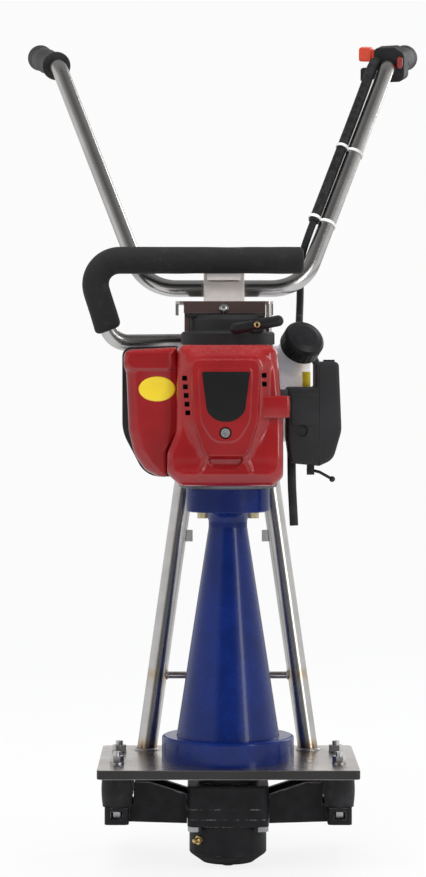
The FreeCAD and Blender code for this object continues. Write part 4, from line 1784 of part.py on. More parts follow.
# ---------------------------------------------------------------- export
def main():
    os.makedirs("parts", exist_ok=True)
    parts = {
        "clamp_bracket": clamp_bracket(),
        "rubber_mounts": Part.makeCompound([rubber_mount(x, y) for x, y in MOUNTS_XY]),
        "mount_studs": Part.makeCompound([mount_hardware(x, y) for x, y in MOUNTS_XY]),
        "base_plate": base_plate(),
        "exciter_pot": exciter_pot(),
        "grease_nipple": grease_nipple(),
        "drain_plug": drain_plug(),
        "exciter_head": exciter_head(),
        "exciter_bolts": exciter_bolts(),
        "exciter_bearings": Part.makeCompound([
            ball_bearing(EXCITER_BEARING_R, EXCITER_SHAFT_R + RUNNING, EXCITER_BEARING_WIDTH, z)
            for z in (LOWER_BEARING_LOW, UPPER_BEARING_LOW)]),
        "eccentric_rotor": eccentric_rotor(),
        "coupling_spider": coupling_spider(),
        "cone_housing": cone_housing(),
        "shaft_bearing": ball_bearing(
            SHAFT_BEARING_R, SHAFT_R + RUNNING, SHAFT_BEARING_WIDTH, SHAFT_BEARING_LOW),
        "drive_shaft": drive_shaft(),
        "clutch_drum": clutch_drum(),
        "clutch_shoes": clutch_shoes(),
        "flange_bolts": flange_bolts(),
        "tube_frame": tube_frame(),
        "clamp_block": clamp_block(),
        "clamp_bolts": clamp_bolts(),
        "lift_handle": lift_handle(),
        "lift_foam": lift_foam(),
        "handlebar": handlebar(),
        "grip_left": grip(-1, GRIP_LENGTH),
        "grip_right": grip(1, RIGHT_GRIP_LENGTH),
        "throttle_housing": throttle_housing(),
        "throttle_lever": throttle_lever(),
        "throttle_latch": throttle_latch(),
        "stop_button": stop_button(),
        "conduit_upper": conduit_upper(),
        "conduit_loop": conduit_loop(),
        "conduit_lower": conduit_lower(),
        "cable_ties": cable_ties(),
        "fan_housing": fan_housing(),
        "flywheel": flywheel(),
        "crankshaft": crankshaft(),
        "crankcase": crankcase(),
        "cylinder": cylinder(),
        "engine_cover": engine_cover(),
        "badge_plate": badge_plate(),
        "cover_screw": cover_screw(),
        "muffler": muffler(),
        "muffler_cover": muffler_cover(),
        "muffler_guard": muffler_guard(),
        "carburettor": carburettor(),
        "air_cleaner_base": air_cleaner_base(),
        "air_filter": air_filter(),
        "air_cleaner_cover": air_cleaner_cover(),
        "choke_lever": choke_lever(),
        "fuel_tank": fuel_tank(),
        "fuel_cap": fuel_cap(),
        "fuel_fitting": fuel_fitting(),
        "breather_hose": breather_hose(),
        "recoil_housing": recoil_housing(),
        "starter_reel": starter_reel(),
        "starter_rope": starter_rope(),
        "starter_grip": starter_grip(),
        "top_bridge": top_bridge(),
    }
    to_origin = Vector(0, -BOARD_BOLTS_BACK, -SEAT_Z)
    for name, shape in parts.items():
        placed = shape.copy()
        placed.translate(to_origin)
        if not placed.isValid():
            print("not valid:", name)
        print(f"{name:26s} solids {len(placed.Solids)} volume {placed.Volume / 1000:8.2f} cm3")
        placed.exportStep("parts/" + name + ".step")


main()
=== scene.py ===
"""Looks of a petrol drive unit for a vibrating concrete screed board.

Lengths are in metres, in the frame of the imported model: X to the right, Y towards the
operator, Z up, with the origin at the centre of the board bolts. The solids come from
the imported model; this script adds finishes, soft pieces, cords, welds and small trim.
"""
import json
import math

import bmesh
import bpy
import numpy as np
from mathutils import Matrix, Vector, noise


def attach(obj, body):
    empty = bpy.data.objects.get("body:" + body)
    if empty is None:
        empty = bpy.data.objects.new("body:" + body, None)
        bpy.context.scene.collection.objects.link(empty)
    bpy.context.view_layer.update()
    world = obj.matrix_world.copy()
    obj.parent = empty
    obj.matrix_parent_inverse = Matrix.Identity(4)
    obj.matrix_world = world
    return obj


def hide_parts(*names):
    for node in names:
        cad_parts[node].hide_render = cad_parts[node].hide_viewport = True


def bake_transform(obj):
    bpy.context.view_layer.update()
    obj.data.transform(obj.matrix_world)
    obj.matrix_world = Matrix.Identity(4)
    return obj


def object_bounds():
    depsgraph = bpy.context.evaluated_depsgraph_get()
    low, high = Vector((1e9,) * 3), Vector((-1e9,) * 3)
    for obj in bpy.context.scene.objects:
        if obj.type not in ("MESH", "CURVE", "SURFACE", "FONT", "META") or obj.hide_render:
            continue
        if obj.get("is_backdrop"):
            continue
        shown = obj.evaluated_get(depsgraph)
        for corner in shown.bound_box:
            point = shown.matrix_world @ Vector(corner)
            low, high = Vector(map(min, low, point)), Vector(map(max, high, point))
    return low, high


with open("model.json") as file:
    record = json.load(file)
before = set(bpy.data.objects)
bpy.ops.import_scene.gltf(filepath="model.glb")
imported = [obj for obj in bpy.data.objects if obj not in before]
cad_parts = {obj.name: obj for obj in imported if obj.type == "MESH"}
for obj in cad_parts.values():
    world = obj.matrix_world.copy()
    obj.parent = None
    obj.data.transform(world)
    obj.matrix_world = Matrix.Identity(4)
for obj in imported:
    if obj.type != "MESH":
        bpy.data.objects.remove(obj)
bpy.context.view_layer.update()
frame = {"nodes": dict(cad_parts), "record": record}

solids = frame["nodes"]


# ---------------------------------------------------------------- shader helpers
class Wire:
    """Output of a shader node. Python's operators add Math nodes to its tree."""

    def __init__(self, finish, socket):
        self.finish = finish
        self.socket = socket

    def math(self, operation, first, second):
        return self.finish.node("ShaderNodeMath", {"operation": operation}, [first, second])


def add_operator(symbol, operation):
    """Give wires one of Python's operators, with the wire on either side of it."""
    setattr(Wire, "__%s__" % symbol, lambda self, other: self.math(operation, self, other))
    setattr(Wire, "__r%s__" % symbol, lambda self, other: self.math(operation, other, self))


for symbol, operation in (("add", "ADD"), ("sub", "SUBTRACT"), ("mul", "MULTIPLY"), ("truediv", "DIVIDE"),
                          ("pow", "POWER")):
    add_operator(symbol, operation)


class Finish:
    """Node tree of one material or of the world."""

    def __init__(self, owner):
        owner.use_nodes = True
        self.owner = owner
        self.tree = owner.node_tree
        self.tree.nodes.clear()

    def node(self, kind, settings=None, inputs=None, output=0):
        """One node: settings first, then values or links of its sockets. Returns one output."""
        made = self.tree.nodes.new(kind)
        for name, value in (settings or {}).items():
            if name == "stops":
                set_stops(made.color_ramp, value)
            else:
                setattr(made, name, value)
        pairs = inputs.items() if isinstance(inputs, dict) else enumerate(inputs or [])
        for key, value in pairs:
            if isinstance(value, Wire):
                self.tree.links.new(value.socket, made.inputs[key])
            else:
                made.inputs[key].default_value = value
        return Wire(self, made.outputs[output]) if made.outputs else None

    def place(self, stretch=(1, 1, 1)):
        """Point on the piece, in the model's frame, with each axis scaled."""
        point = self.node("ShaderNodeTexCoord", output="Object")
        if tuple(stretch) == (1, 1, 1):
            return point
        return self.node("ShaderNodeVectorMath", {"operation": "MULTIPLY"}, [point, stretch])

    def axis(self, index):
        """One coordinate of the point: 0 for X, 1 for Y, 2 for Z."""
        return self.node("ShaderNodeSeparateXYZ", inputs=[self.place()], output=index)

    def noise(self, scale, detail=3.0, roughness=0.5, stretch=(1, 1, 1)):
        """Smooth noise from 0 to 1, with that many waves per metre."""
        return self.node("ShaderNodeTexNoise", inputs={
            "Vector": self.place(stretch), "Scale": scale, "Detail": detail, "Roughness": roughness})

    def cells(self, scale):
        """Distance in a pattern of cells, with that many cells per metre."""
        return self.node("ShaderNodeTexVoronoi", {"feature": "F1"}, {"Vector": self.place(), "Scale": scale})

    def between(self, value, low, high):
        """0 below low, 1 above high, smooth between them; falls where low is above high."""
        return self.node("ShaderNodeMapRange", {"interpolation_type": "SMOOTHSTEP"}, {
            "Value": value, "From Min": low, "From Max": high, "To Min": 0.0, "To Max": 1.0})

    def mix(self, factor, first, second):
        """Colour between the first and the second."""
        first, second = (c if isinstance(c, Wire) else rgba(c) for c in (first, second))
        return self.node("ShaderNodeMix", {"data_type": "RGBA"}, {0: factor, 6: first, 7: second}, 2)

    def edge(self, radius):
        """1 on sharp edges, falling to 0 within the radius."""
        soft = self.node("ShaderNodeBevel", {"samples": 4}, {"Radius": radius})
        true = self.node("ShaderNodeNewGeometry", output="True Normal")
        same = self.node("ShaderNodeVectorMath", {"operation": "DOT_PRODUCT"}, [soft, true], "Value")
        return self.between(same, 0.99, 0.82)

    def lift(self):
        """Upward part of the surface's normal."""
        normal = self.node("ShaderNodeNewGeometry", output="Normal")
        return self.node("ShaderNodeSeparateXYZ", inputs=[normal], output=2)

    def upward(self):
        """1 where the surface looks up, 0 where it is upright or looks down."""
        return self.between(self.lift(), 0.35, 0.95)

    def upright(self):
        """1 where the surface is upright, 0 where it looks up or down."""
        lift = self.lift()
        return self.between(lift * lift, 0.3, 0.08)

    def near(self, point, radius):
        """1 at a point of the model, falling to 0 at the radius."""
        away = self.node("ShaderNodeVectorMath", {"operation": "DISTANCE"}, [self.place(), point], "Value")
        return self.between(away, radius, 0.0)

    def within(self, corners):
        """1 inside the box between two points of the model, 0 outside it."""
        found = None
        for low, high, place in zip(*corners, (self.axis(i) for i in range(3))):
            band = self.between(place, low - 0.0004, low) * self.between(place, high + 0.0004, high)
            found = band if found is None else found * band
        return found

    def bump(self, height, depth, below=None):
        """Normal of a surface with that height, the depth in metres at height 1."""
        inputs = {"Height": height, "Distance": depth, "Strength": 1.0}
        if below is not None:
            inputs["Normal"] = below
        return self.node("ShaderNodeBump", inputs=inputs)

    def surface(self, **sockets):
        """Principled surface; socket names are written with _ for the space."""
        named = {name.replace("_", " "): value for name, value in sockets.items()}
        for name in ("Base Color", "Emission Color"):
            if name in named and not isinstance(named[name], Wire):
                named[name] = tuple(named[name]) + (1.0,)
        shader = self.node("ShaderNodeBsdfPrincipled", inputs=named)
        self.node("ShaderNodeOutputMaterial", inputs={"Surface": shader})
        return self.owner


def set_stops(band, stops):
    """Colour ramp from (position, colour) stops."""
    while len(band.elements) > 1:
        band.elements.remove(band.elements[-1])
    band.elements[0].position, band.elements[0].color = stops[0][0], rgba(stops[0][1])
    for position, colour in stops[1:]:
        band.elements.new(position).color = rgba(colour)


def rgba(colour):
    """Colour with its alpha, from a grey level or three numbers."""
    if isinstance(colour, (int, float)):
        colour = (colour, colour, colour)
    return tuple(colour) + (1.0,)


def new_finish(name):
    return Finish(bpy.data.materials.new(name))


# ---------------------------------------------------------------- finishes
TURNED_MARKS = (1, 1, 0.05)


def moulded_gloss(name, colour, dark, grain=0.00001):
    """Glossy moulded cover: slight flow marks, and dust on top."""
    f = new_finish(name)
    flow = f.noise(14.0, 3.0, 0.55)
    dust = f.upward() * f.between(f.noise(160.0, 4.0, 0.6), 0.42, 0.75)
    tone = f.mix(f.between(flow, 0.35, 0.7), dark, colour)
    tone = f.mix(dust * 0.05, tone, (0.42, 0.38, 0.34))
    ripple = f.bump(f.noise(260.0, 2.0, 0.4), grain)
    return f.surface(
        Base_Color=tone, Roughness=0.2 + 0.09 * flow + 0.12 * dust, Normal=ripple,
        Specular_IOR_Level=0.4, Coat_Weight=0.35, Coat_Roughness=0.08)


def moulded_matte(name, colour, light, grain_scale=1500.0, grain=0.00006, rough=0.5):
    """Fine-grained moulded plastic with paler worn edges."""
    f = new_finish(name)
    grain_height = f.noise(grain_scale, 3.0, 0.6)
    cloud = f.noise(22.0, 3.0, 0.5)
    worn = f.edge(0.0014) * f.between(f.noise(130.0, 3.0, 0.6), 0.38, 0.66)
    dust = f.upward() * f.between(f.noise(190.0, 4.0, 0.6), 0.45, 0.8)
    tone = f.mix(f.between(cloud, 0.3, 0.7), colour, [c * 1.45 for c in colour])
    tone = f.mix(worn * 0.55 + dust * 0.3, tone, light)
    return f.surface(
        Base_Color=tone, Roughness=rough + 0.14 * cloud + 0.12 * dust - 0.08 * worn,
        Specular_IOR_Level=0.28, Normal=f.bump(grain_height, grain))


def enamel(name, colour, deep, chip):
    """Gloss enamel on a casting: soft orange peel, thin runs, and chips on the edges."""
    f = new_finish(name)
    peel = f.noise(240.0, 2.0, 0.45)
    cast = f.noise(36.0, 4.0, 0.55)
    run = f.noise(46.0, 2.0, 0.5, (1, 1, 0.1))
    chips = f.edge(0.0012) * f.between(f.noise(240.0, 3.0, 0.7), 0.58, 0.66)
    tone = f.mix(f.between(cast, 0.3, 0.72), deep, colour)
    tone = f.mix(chips * 0.8, tone, chip)
    skin = f.bump(cast, 0.0003, f.bump(run, 0.00012, f.bump(peel, 0.00004)))
    return f.surface(
        Base_Color=tone, Roughness=0.22 + 0.1 * cast + 0.3 * chips, Normal=skin,
        Specular_IOR_Level=0.18, Coat_Weight=0.22 - 0.2 * chips, Coat_Roughness=0.07)


def black_casting(name, colour, bare):
    """Satin black paint over a sand casting, rubbed bare on a few edges."""
    f = new_finish(name)
    sand = f.noise(900.0, 4.0, 0.65)
    lumps = f.noise(70.0, 3.0, 0.5)
    worn = f.edge(0.0016) * f.between(f.noise(150.0, 4.0, 0.65), 0.46, 0.62)
    dust = f.upward() * f.between(f.noise(210.0, 4.0, 0.6), 0.4, 0.8)
    tone = f.mix(f.between(lumps, 0.3, 0.7), colour, [c * 1.7 for c in colour])
    tone = f.mix(dust * 0.28, tone, (0.24, 0.225, 0.2))
    tone = f.mix(worn * 0.7, tone, bare)
    skin = f.bump(lumps, 0.0005, f.bump(sand, 0.00018))
    return f.surface(
        Base_Color=tone, Metallic=0.85 * worn, Roughness=0.36 + 0.2 * sand + 0.15 * dust - 0.05 * worn,
        Specular_IOR_Level=0.18, Normal=skin)


def polished_steel(name, colour, rough, grain_stretch, tints=()):
    """Polished or brushed stainless steel, with heat tints round its welds."""
    f = new_finish(name)
    brush = f.noise(700.0, 2.0, 0.6, grain_stretch)
    smear = f.noise(30.0, 3.0, 0.55)
    tone = f.mix(f.between(smear, 0.3, 0.75), colour, [c * 0.84 for c in colour])
    for point, radius in tints:
        heat = f.near(point, radius) + 0.22 * (f.noise(120.0, 3.0, 0.6) - 0.5)
        straw = f.node("ShaderNodeValToRGB", {"stops": [
            (0.0, colour), (0.35, [c * m for c, m in zip(colour, (0.9, 0.78, 0.62))]),
            (0.65, (0.26, 0.15, 0.1)), (0.85, (0.12, 0.075, 0.055)), (1.0, (0.1, 0.07, 0.055))]}, [heat])
        tone = f.mix(f.between(heat, 0.02, 0.4), tone, straw)
    blasted = f.within(SADDLE)
    tone = f.mix(blasted, tone, BLOCK_TONE)
    return f.surface(
        Base_Color=tone, Metallic=1.0 - 0.9 * blasted,
        Roughness=rough + 0.3 * blasted + 0.1 * smear + 0.06 * brush, Normal=f.bump(brush, 0.000012))


def steel_sheet(name, colour, cut_oxide_and_painted_shade, tints):
    """Thick stainless sheet: smeared polished face, brown patches that are a painted reflection of the red
    covers, and upright cut faces darkened, partly the real oxide of the torch cut and mostly painted shade
    and dark reflection.
    """
    f = new_finish(name)
    brush = f.noise(620.0, 2.0, 0.6, (0.05, 1, 1))
    smear = f.noise(16.0, 4.0, 0.6)
    # On this sheet the brown patches are a painted reflection of the red covers in the polished face.
    stain_and_painted_reflection = f.between(f.noise(9.0, 4.0, 0.65), 0.42, 0.62)
    tone = f.mix(f.between(smear, 0.3, 0.75), colour, [c * 0.8 for c in colour])
    tone = f.mix(stain_and_painted_reflection * 0.4, tone, (0.3, 0.24, 0.205))
    for point, radius in tints:
        tone = f.mix(f.near(point, radius) * 0.75, tone, (0.16, 0.085, 0.06))
    bridge = f.between(f.axis(2), 0.3, 0.4)
    beside = f.axis(0) - BRIDGE_MIDDLE
    ends = f.between(beside * beside, BRIDGE_LIP_HALF ** 2, (BRIDGE_LIP_HALF + 0.001) ** 2) * bridge
    # Upright faces are darkened, near black on the base plate and dark brown on the bridge: partly the real
    # oxide of the cut, mostly painted shade and painted dark reflection.
    cut = f.upright() * (1.0 - 0.85 * f.edge(0.0007)) * (1.0 - ends)
    tone = f.mix(cut * 0.96, tone, f.mix(bridge, cut_oxide_and_painted_shade, (0.05, 0.026, 0.022)))
    return f.surface(
        Base_Color=tone, Metallic=1.0 - 0.75 * cut, Roughness=0.17 + 0.14 * smear + 0.06 * brush + 0.2 * cut,
        Specular_IOR_Level=0.3, Normal=f.bump(brush, 0.000012))


def brushed_block(name, colour):
    """Bead-blasted clamp steel with a warm bloom and bright edges."""
    f = new_finish(name)
    bloom = f.noise(34.0, 4.0, 0.6)
    blast = f.noise(1600.0, 3.0, 0.6)
    tone = f.mix(f.between(bloom, 0.3, 0.7), colour, [c * 0.84 for c in colour])
    tone = f.mix(f.edge(0.0008) * 0.5, tone, (0.7, 0.68, 0.66))
    return f.surface(
        Base_Color=tone, Metallic=0.1, Roughness=0.42 + 0.15 * bloom, Normal=f.bump(blast, 0.00006))


def machined(name, colour, rough=0.3, metallic=1.0, grain=TURNED_MARKS, black=()):
    """Turned or ground metal with tool marks and an oily bloom, blackened inside the given boxes."""
    f = new_finish(name)
    marks = f.noise(1100.0, 2.0, 0.5, grain)
    bloom = f.noise(60.0, 4.0, 0.6)
    tone = f.mix(f.between(bloom, 0.35, 0.7), colour, [c * 0.7 for c in colour])
    for corners in black:
        tone = f.mix(f.within(corners) * 0.94, tone, (0.02, 0.02, 0.021))
    return f.surface(
        Base_Color=tone, Metallic=metallic, Roughness=rough + 0.16 * bloom + 0.08 * marks,
        Normal=f.bump(marks, 0.00003))


def cast_alloy(name, colour):
    """Dull cast alloy with a fine skin and darker oily patches."""
    f = new_finish(name)
    skin = f.noise(1300.0, 4.0, 0.7)
    stain_and_painted_reflection = f.noise(42.0, 4.0, 0.6)
    bright = f.edge(0.0009)
    tone = f.mix(f.between(stain_and_painted_reflection, 0.36, 0.7), colour, [c * 0.45 for c in colour])
    tone = f.mix(bright * 0.4, tone, [min(1.0, c * 2.2) for c in colour])
    return f.surface(Base_Color=tone, Metallic=0.75, Roughness=0.46 + 0.2 * stain_and_painted_reflection,
                     Normal=f.bump(skin, 0.00012))


def zinc_yellow(name):
    """Yellow passivated zinc with a rainbow bloom."""
    f = new_finish(name)
    bloom = f.noise(260.0, 3.0, 0.6)
    tone = f.node("ShaderNodeValToRGB", {"stops": [
        (0.3, (0.62, 0.48, 0.22)), (0.48, (0.7, 0.6, 0.36)),
        (0.6, (0.56, 0.5, 0.4)), (0.75, (0.6, 0.38, 0.2))]}, [bloom])
    return f.surface(Base_Color=tone, Metallic=1.0, Roughness=0.3 + 0.12 * bloom,
                     Normal=f.bump(f.noise(1500.0), 0.00002))


def rubber(name, colour, rough=0.62, scale=900.0, grain=0.0001):
    """Moulded rubber with a fine skin, pale bloom and handling shine."""
    f = new_finish(name)
    skin = f.noise(scale, 3.0, 0.6)
    bloom = f.noise(48.0, 4.0, 0.6)
    tone = f.mix(f.between(bloom, 0.4, 0.75), colour, [c * 1.9 + 0.006 for c in colour])
    return f.surface(
        Base_Color=tone, Roughness=rough + 0.14 * bloom, Specular_IOR_Level=0.25, Sheen_Weight=0.05,
        Normal=f.bump(skin, grain))


def foam_skin(name):
    """Closed-cell foam: fine open pores in a soft matte skin, with a few scuffs."""
    f = new_finish(name)
    pores = f.between(f.cells(1050.0), 0.12, 0.42)
    fine = f.noise(2600.0, 3.0, 0.7)
    scuff = f.between(f.noise(75.0, 4.0, 0.65), 0.56, 0.72)
    tone = f.mix(pores, (0.006, 0.006, 0.006), (0.026, 0.025, 0.026))
    tone = f.mix(scuff * 0.3, tone, (0.075, 0.072, 0.07))
    skin = f.bump(f.noise(90.0, 3.0, 0.5), 0.0009, f.bump(pores, 0.00022, f.bump(fine, 0.00008)))
    return f.surface(Base_Color=tone, Roughness=0.74 + 0.12 * pores, Specular_IOR_Level=0.12,
                     Sheen_Weight=0.06, Sheen_Roughness=0.5, Normal=skin)


def tank_wall(name):
    """Milky blow-moulded wall, darker where fuel stands behind it, with a faint painted glow that lifts it
    out of the covers' shade.
    """
    f = new_finish(name)
    fuel = f.between(f.axis(2) + 0.0012 * f.noise(60.0), 0.446, 0.443)
    cloud = f.noise(55.0, 4.0, 0.6)
    tone = f.mix(f.between(cloud, 0.3, 0.7), (0.93, 0.9, 0.94), (0.86, 0.83, 0.87))
    tone = f.mix(fuel * 0.3, tone, (0.78, 0.7, 0.55))
    return f.surface(
        Base_Color=tone, Roughness=0.36 + 0.12 * cloud, Subsurface_Weight=0.2, Subsurface_Scale=0.004,
        # Painted light: the wall glows faintly so that it stays pale in the shade of the covers.
        Emission_Color=tone, Emission_Strength=0.11,
        Normal=f.bump(f.noise(420.0, 3.0, 0.5), 0.00008))


def heated_steel(name):
    """Muffler steel, straw and brown near the pipe and sooty at the outlet."""
    f = new_finish(name)
    heat = f.near((-0.06, -0.178, 0.466), 0.05) + 0.4 * (f.noise(80.0, 4.0, 0.6) - 0.5)
    tone = f.node("ShaderNodeValToRGB", {"stops": [
        (0.0, (0.42, 0.4, 0.37)), (0.35, (0.46, 0.36, 0.22)), (0.65, (0.26, 0.14, 0.08)),
        (0.9, (0.1, 0.09, 0.14))]}, [heat])
    soot = f.near((-0.084, -0.122, 0.444), 0.022)
    tone = f.mix(soot * 0.85, tone, 0.012)
    return f.surface(Base_Color=tone, Metallic=1.0 - 0.8 * soot, Roughness=0.34 + 0.4 * soot + 0.1 * heat,
                     Normal=f.bump(f.noise(700.0), 0.00004))


def braided(name, colour, dark, pitch):
    """Braided rope: crossing strands along the rope."""
    f = new_finish(name)
    turn = f.node("ShaderNodeTexWave", {"bands_direction": "DIAGONAL"}, {
        "Vector": f.place(), "Scale": pitch, "Distortion": 1.2, "Detail": 1.0})
    strand = f.between(turn, 0.2, 0.8)
    return f.surface(Base_Color=f.mix(strand, dark, colour), Roughness=0.85,
                     Sheen_Weight=0.3, Normal=f.bump(strand, 0.0003))


def filter_foam(name):
    """Open-cell filter foam, damp with oil."""
    f = new_finish(name)
    holes = f.between(f.cells(420.0), 0.1, 0.5)
    return f.surface(Base_Color=f.mix(holes, 0.008, (0.07, 0.068, 0.064)), Roughness=0.6,
                     Normal=f.bump(holes, 0.0008))


TUBE = (0.55, 0.537, 0.523)
BLOCK_TONE = (0.92, 0.85, 0.81)
BRIDGE_MIDDLE, BRIDGE_LIP_HALF = -0.004, 0.0443
EXCITER_HEADS = ((-0.06, -0.16, 0.029), (0.06, -0.04, 0.06))
CHOKE_LEVER = ((0.08, -0.17, 0.37), (0.12, -0.14, 0.4))
SADDLE = ((-0.0235, -0.0125, 0.598), (0.0165, 0.0155, 0.6185))
FRAME_FEET = [((s * 0.09, -0.028, 0.072), 0.026) for s in (-1, 1)]
BRACE_ENDS = [((s * 0.0783, -0.0175, 0.156), 0.02) for s in (-1, 1)]
FINISHES = {name: make(name, *values) for name, (make, *values) in {
    "red_plastic": (moulded_gloss, (0.31, 0.009, 0.010), (0.24, 0.006, 0.008)),
    "blue_paint": (enamel, (0.003, 0.018, 0.145), (0.002, 0.013, 0.105), (0.08, 0.1, 0.16)),
    "black_cast": (black_casting, (0.008, 0.008, 0.009), (0.35, 0.34, 0.33)),
    "polished_tube": (polished_steel, TUBE, 0.17, (1, 1, 0.06), FRAME_FEET + BRACE_ENDS),
    # The third colour is the near black of the plate's cut faces: real oxide and painted shade.
    "stainless_sheet": (steel_sheet, (0.6, 0.575, 0.555), (0.012, 0.011, 0.011), FRAME_FEET),
    "block_steel": (brushed_block, BLOCK_TONE),
    "stainless": (machined, (0.62, 0.61, 0.6), 0.2),
    "steel": (machined, (0.42, 0.42, 0.43), 0.28, 1.0, TURNED_MARKS, (EXCITER_HEADS, CHOKE_LEVER)),
    "bearing_steel": (machined, (0.6, 0.6, 0.62), 0.14),
    "clutch_lining": (machined, (0.12, 0.1, 0.085), 0.7, 0.2, (1, 1, 1)),
    "brass": (machined, (0.78, 0.56, 0.24), 0.22),
    "yellow_zinc": (zinc_yellow,),
    "engine_cast": (cast_alloy, (0.17, 0.17, 0.18)),
    "rubber": (rubber, (0.014, 0.014, 0.015)),
    "spider_rubber": (rubber, (0.3, 0.03, 0.02)),
    "grip_rubber": (rubber, (0.014, 0.013, 0.014), 0.5, 700.0),
    "hose_rubber": (rubber, (0.013, 0.013, 0.014), 0.4, 1200.0, 0.00004),
    "foam": (foam_skin,),
    "filter_foam": (filter_foam,),
    "tank_plastic": (tank_wall,),
    "black_plastic": (moulded_matte, (0.017, 0.017, 0.018), (0.09, 0.09, 0.09)),
    "control_plastic": (moulded_matte, (0.012, 0.012, 0.013), (0.08, 0.08, 0.08), 1900.0),
    "latch_plastic": (moulded_matte, (0.014, 0.014, 0.015), (0.09, 0.09, 0.09)),
    "cap_plastic": (moulded_matte, (0.01, 0.01, 0.011), (0.1, 0.1, 0.1), 1200.0, 0.00004, 0.34),
    "conduit_plastic": (moulded_matte, (0.012, 0.012, 0.013), (0.07, 0.07, 0.07)),
    "reel_plastic": (moulded_matte, (0.4, 0.4, 0.38), (0.6, 0.6, 0.58)),
    "tie_plastic": (moulded_matte, (0.62, 0.62, 0.6), (0.8, 0.8, 0.78), 900.0, 0.00003, 0.4),
    "badge_black": (moulded_gloss, (0.008, 0.008, 0.008), (0.006, 0.006, 0.006)),
    "orange_plastic": (moulded_gloss, (0.74, 0.07, 0.02), (0.62, 0.05, 0.015)),
    "button_plastic": (moulded_gloss, (0.3, 0.02, 0.018), (0.24, 0.014, 0.012)),
    "yellow_plastic": (moulded_gloss, (0.86, 0.66, 0.03), (0.76, 0.54, 0.025)),
    "muffler_steel": (heated_steel,),
    "rope": (braided, (0.5, 0.5, 0.47), (0.16, 0.16, 0.15), 260.0),
}.items()}
for entry in frame["record"]["subparts"]:
    solid = solids[entry["node"]]
    solid.data.materials.clear()
    solid.data.materials.append(FINISHES[entry["material_slot"]])


# ---------------------------------------------------------------- shape helpers
def added(name, data):
    """New object with that data, in the scene."""
    made = bpy.data.objects.new(name, data)
    bpy.context.scene.collection.objects.link(made)
    return made


def piece(name, verts, faces, finish, body):
    """Mesh piece with a finish, that rides on a body."""
    mesh = bpy.data.meshes.new(name)
    mesh.from_pydata([tuple(v) for v in verts], [], faces)
    mesh.validate()
    mesh.shade_smooth()
    made = added(name, mesh)
    mesh.materials.append(FINISHES[finish])
    if body:
        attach(made, body)
    return made


def side_axes(along):
    """Two unit vectors square to a direction."""
    along = Vector(along).normalized()
    across = along.cross(Vector((0, 0, 1)))
    if across.length < 0.2:
        across = along.cross(Vector((0, 1, 0)))
    across.normalize()
    return across, along.cross(across).normalized()


def swept(line, radius_at, sides, closed=False):
    """Vertices and faces of a tube along a line; radius_at(distance, turn) is its radius."""
    count = len(line)
    directions = []
    for i in range(count):
        before = line[i - 1] if (i or closed) else line[i]
        after = line[(i + 1) % count] if (i < count - 1 or closed) else line[i]
        directions.append((after - before).normalized())
    across, up = side_axes(directions[0])
    verts, distance = [], 0.0
    for i, (middle, along) in enumerate(zip(line, directions)):
        if i:
            distance += (middle - line[i - 1]).length
            bend = directions[i - 1].rotation_difference(along)
            across, up = bend @ across, bend @ up
        for k in range(sides):
            turn = 2 * math.pi * k / sides
            radius = radius_at(distance, turn)
            verts.append(middle + (across * math.cos(turn) + up * math.sin(turn)) * radius)
    faces = []
    for i in range(count if closed else count - 1):
        row, ahead = i * sides, ((i + 1) % count) * sides
        for k in range(sides):
            right = (k + 1) % sides
            faces.append((row + k, ahead + k, ahead + right, row + right))
    if not closed:
        faces.append(tuple(range(sides)))
        faces.append(tuple(reversed(range((count - 1) * sides, count * sides))))
    return verts, faces


def band(low, high, count):
    """Faces between two closed rings of points, that start at the given numbers."""
    return [(low + k, low + (k + 1) % count, high + (k + 1) % count, high + k) for k in range(count)]


def joined(verts, faces):
    """The same closed surface with points that lie together joined, and its faces turned outwards."""
    mesh = bmesh.new()
    made = [mesh.verts.new(v) for v in verts]
    for face in faces:
        mesh.faces.new([made[k] for k in face])
    bmesh.ops.remove_doubles(mesh, verts=mesh.verts, dist=1e-6)
    bmesh.ops.recalc_face_normals(mesh, faces=mesh.faces)
    mesh.verts.index_update()
    result = [v.co.copy() for v in mesh.verts], [tuple(v.index for v in face.verts) for face in mesh.faces]
    mesh.free()
    return result


def turned(profile, foot, sides=48):
    """Vertices and faces of a (radius, depth) profile turned about an axis that runs forward from foot."""
    along, foot = Vector((0, -1, 0)), Vector(foot)
    across, up = side_axes(along)
    turns = [2 * math.pi * k / sides for k in range(sides)]
    verts = [foot + along * depth + (across * math.cos(turn) + up * math.sin(turn)) * radius
             for radius, depth in profile for turn in turns]
    rows = range(0, (len(profile) - 1) * sides, sides)
    return joined(verts, [face for row in rows for face in band(row, row + sides, sides)])


def rounded_line(points, radii, step=0.004):
    """Points along straight runs and the arcs between them."""
    points = [Vector(p) for p in points]
    corners = [[points[0]]]
    for before, here, after, radius in zip(points, points[1:], points[2:], radii):
        back, ahead = (before - here).normalized(), (after - here).normalized()
        half = back.angle(ahead) / 2
        reach = radius / math.tan(half)
        middle = here + (back + ahead).normalized() * (radius / math.sin(half))
        start, end = here + back * reach, here + ahead * reach
        first, last = start - middle, end - middle
        steps = max(4, int(first.angle(last) * radius / step))
        unit, goal = first.normalized(), last.normalized()
        corners.append([middle + unit.slerp(goal, i / steps).normalized() * radius for i in range(steps + 1)])
    corners.append([points[-1]])
    line = []
    for here, there in zip(corners, corners[1:]):
        line += here
        run = there[0] - here[-1]
        count = int(run.length / step)
        line += [here[-1] + run * (i / count) for i in range(1, count)]
    return line + corners[-1]


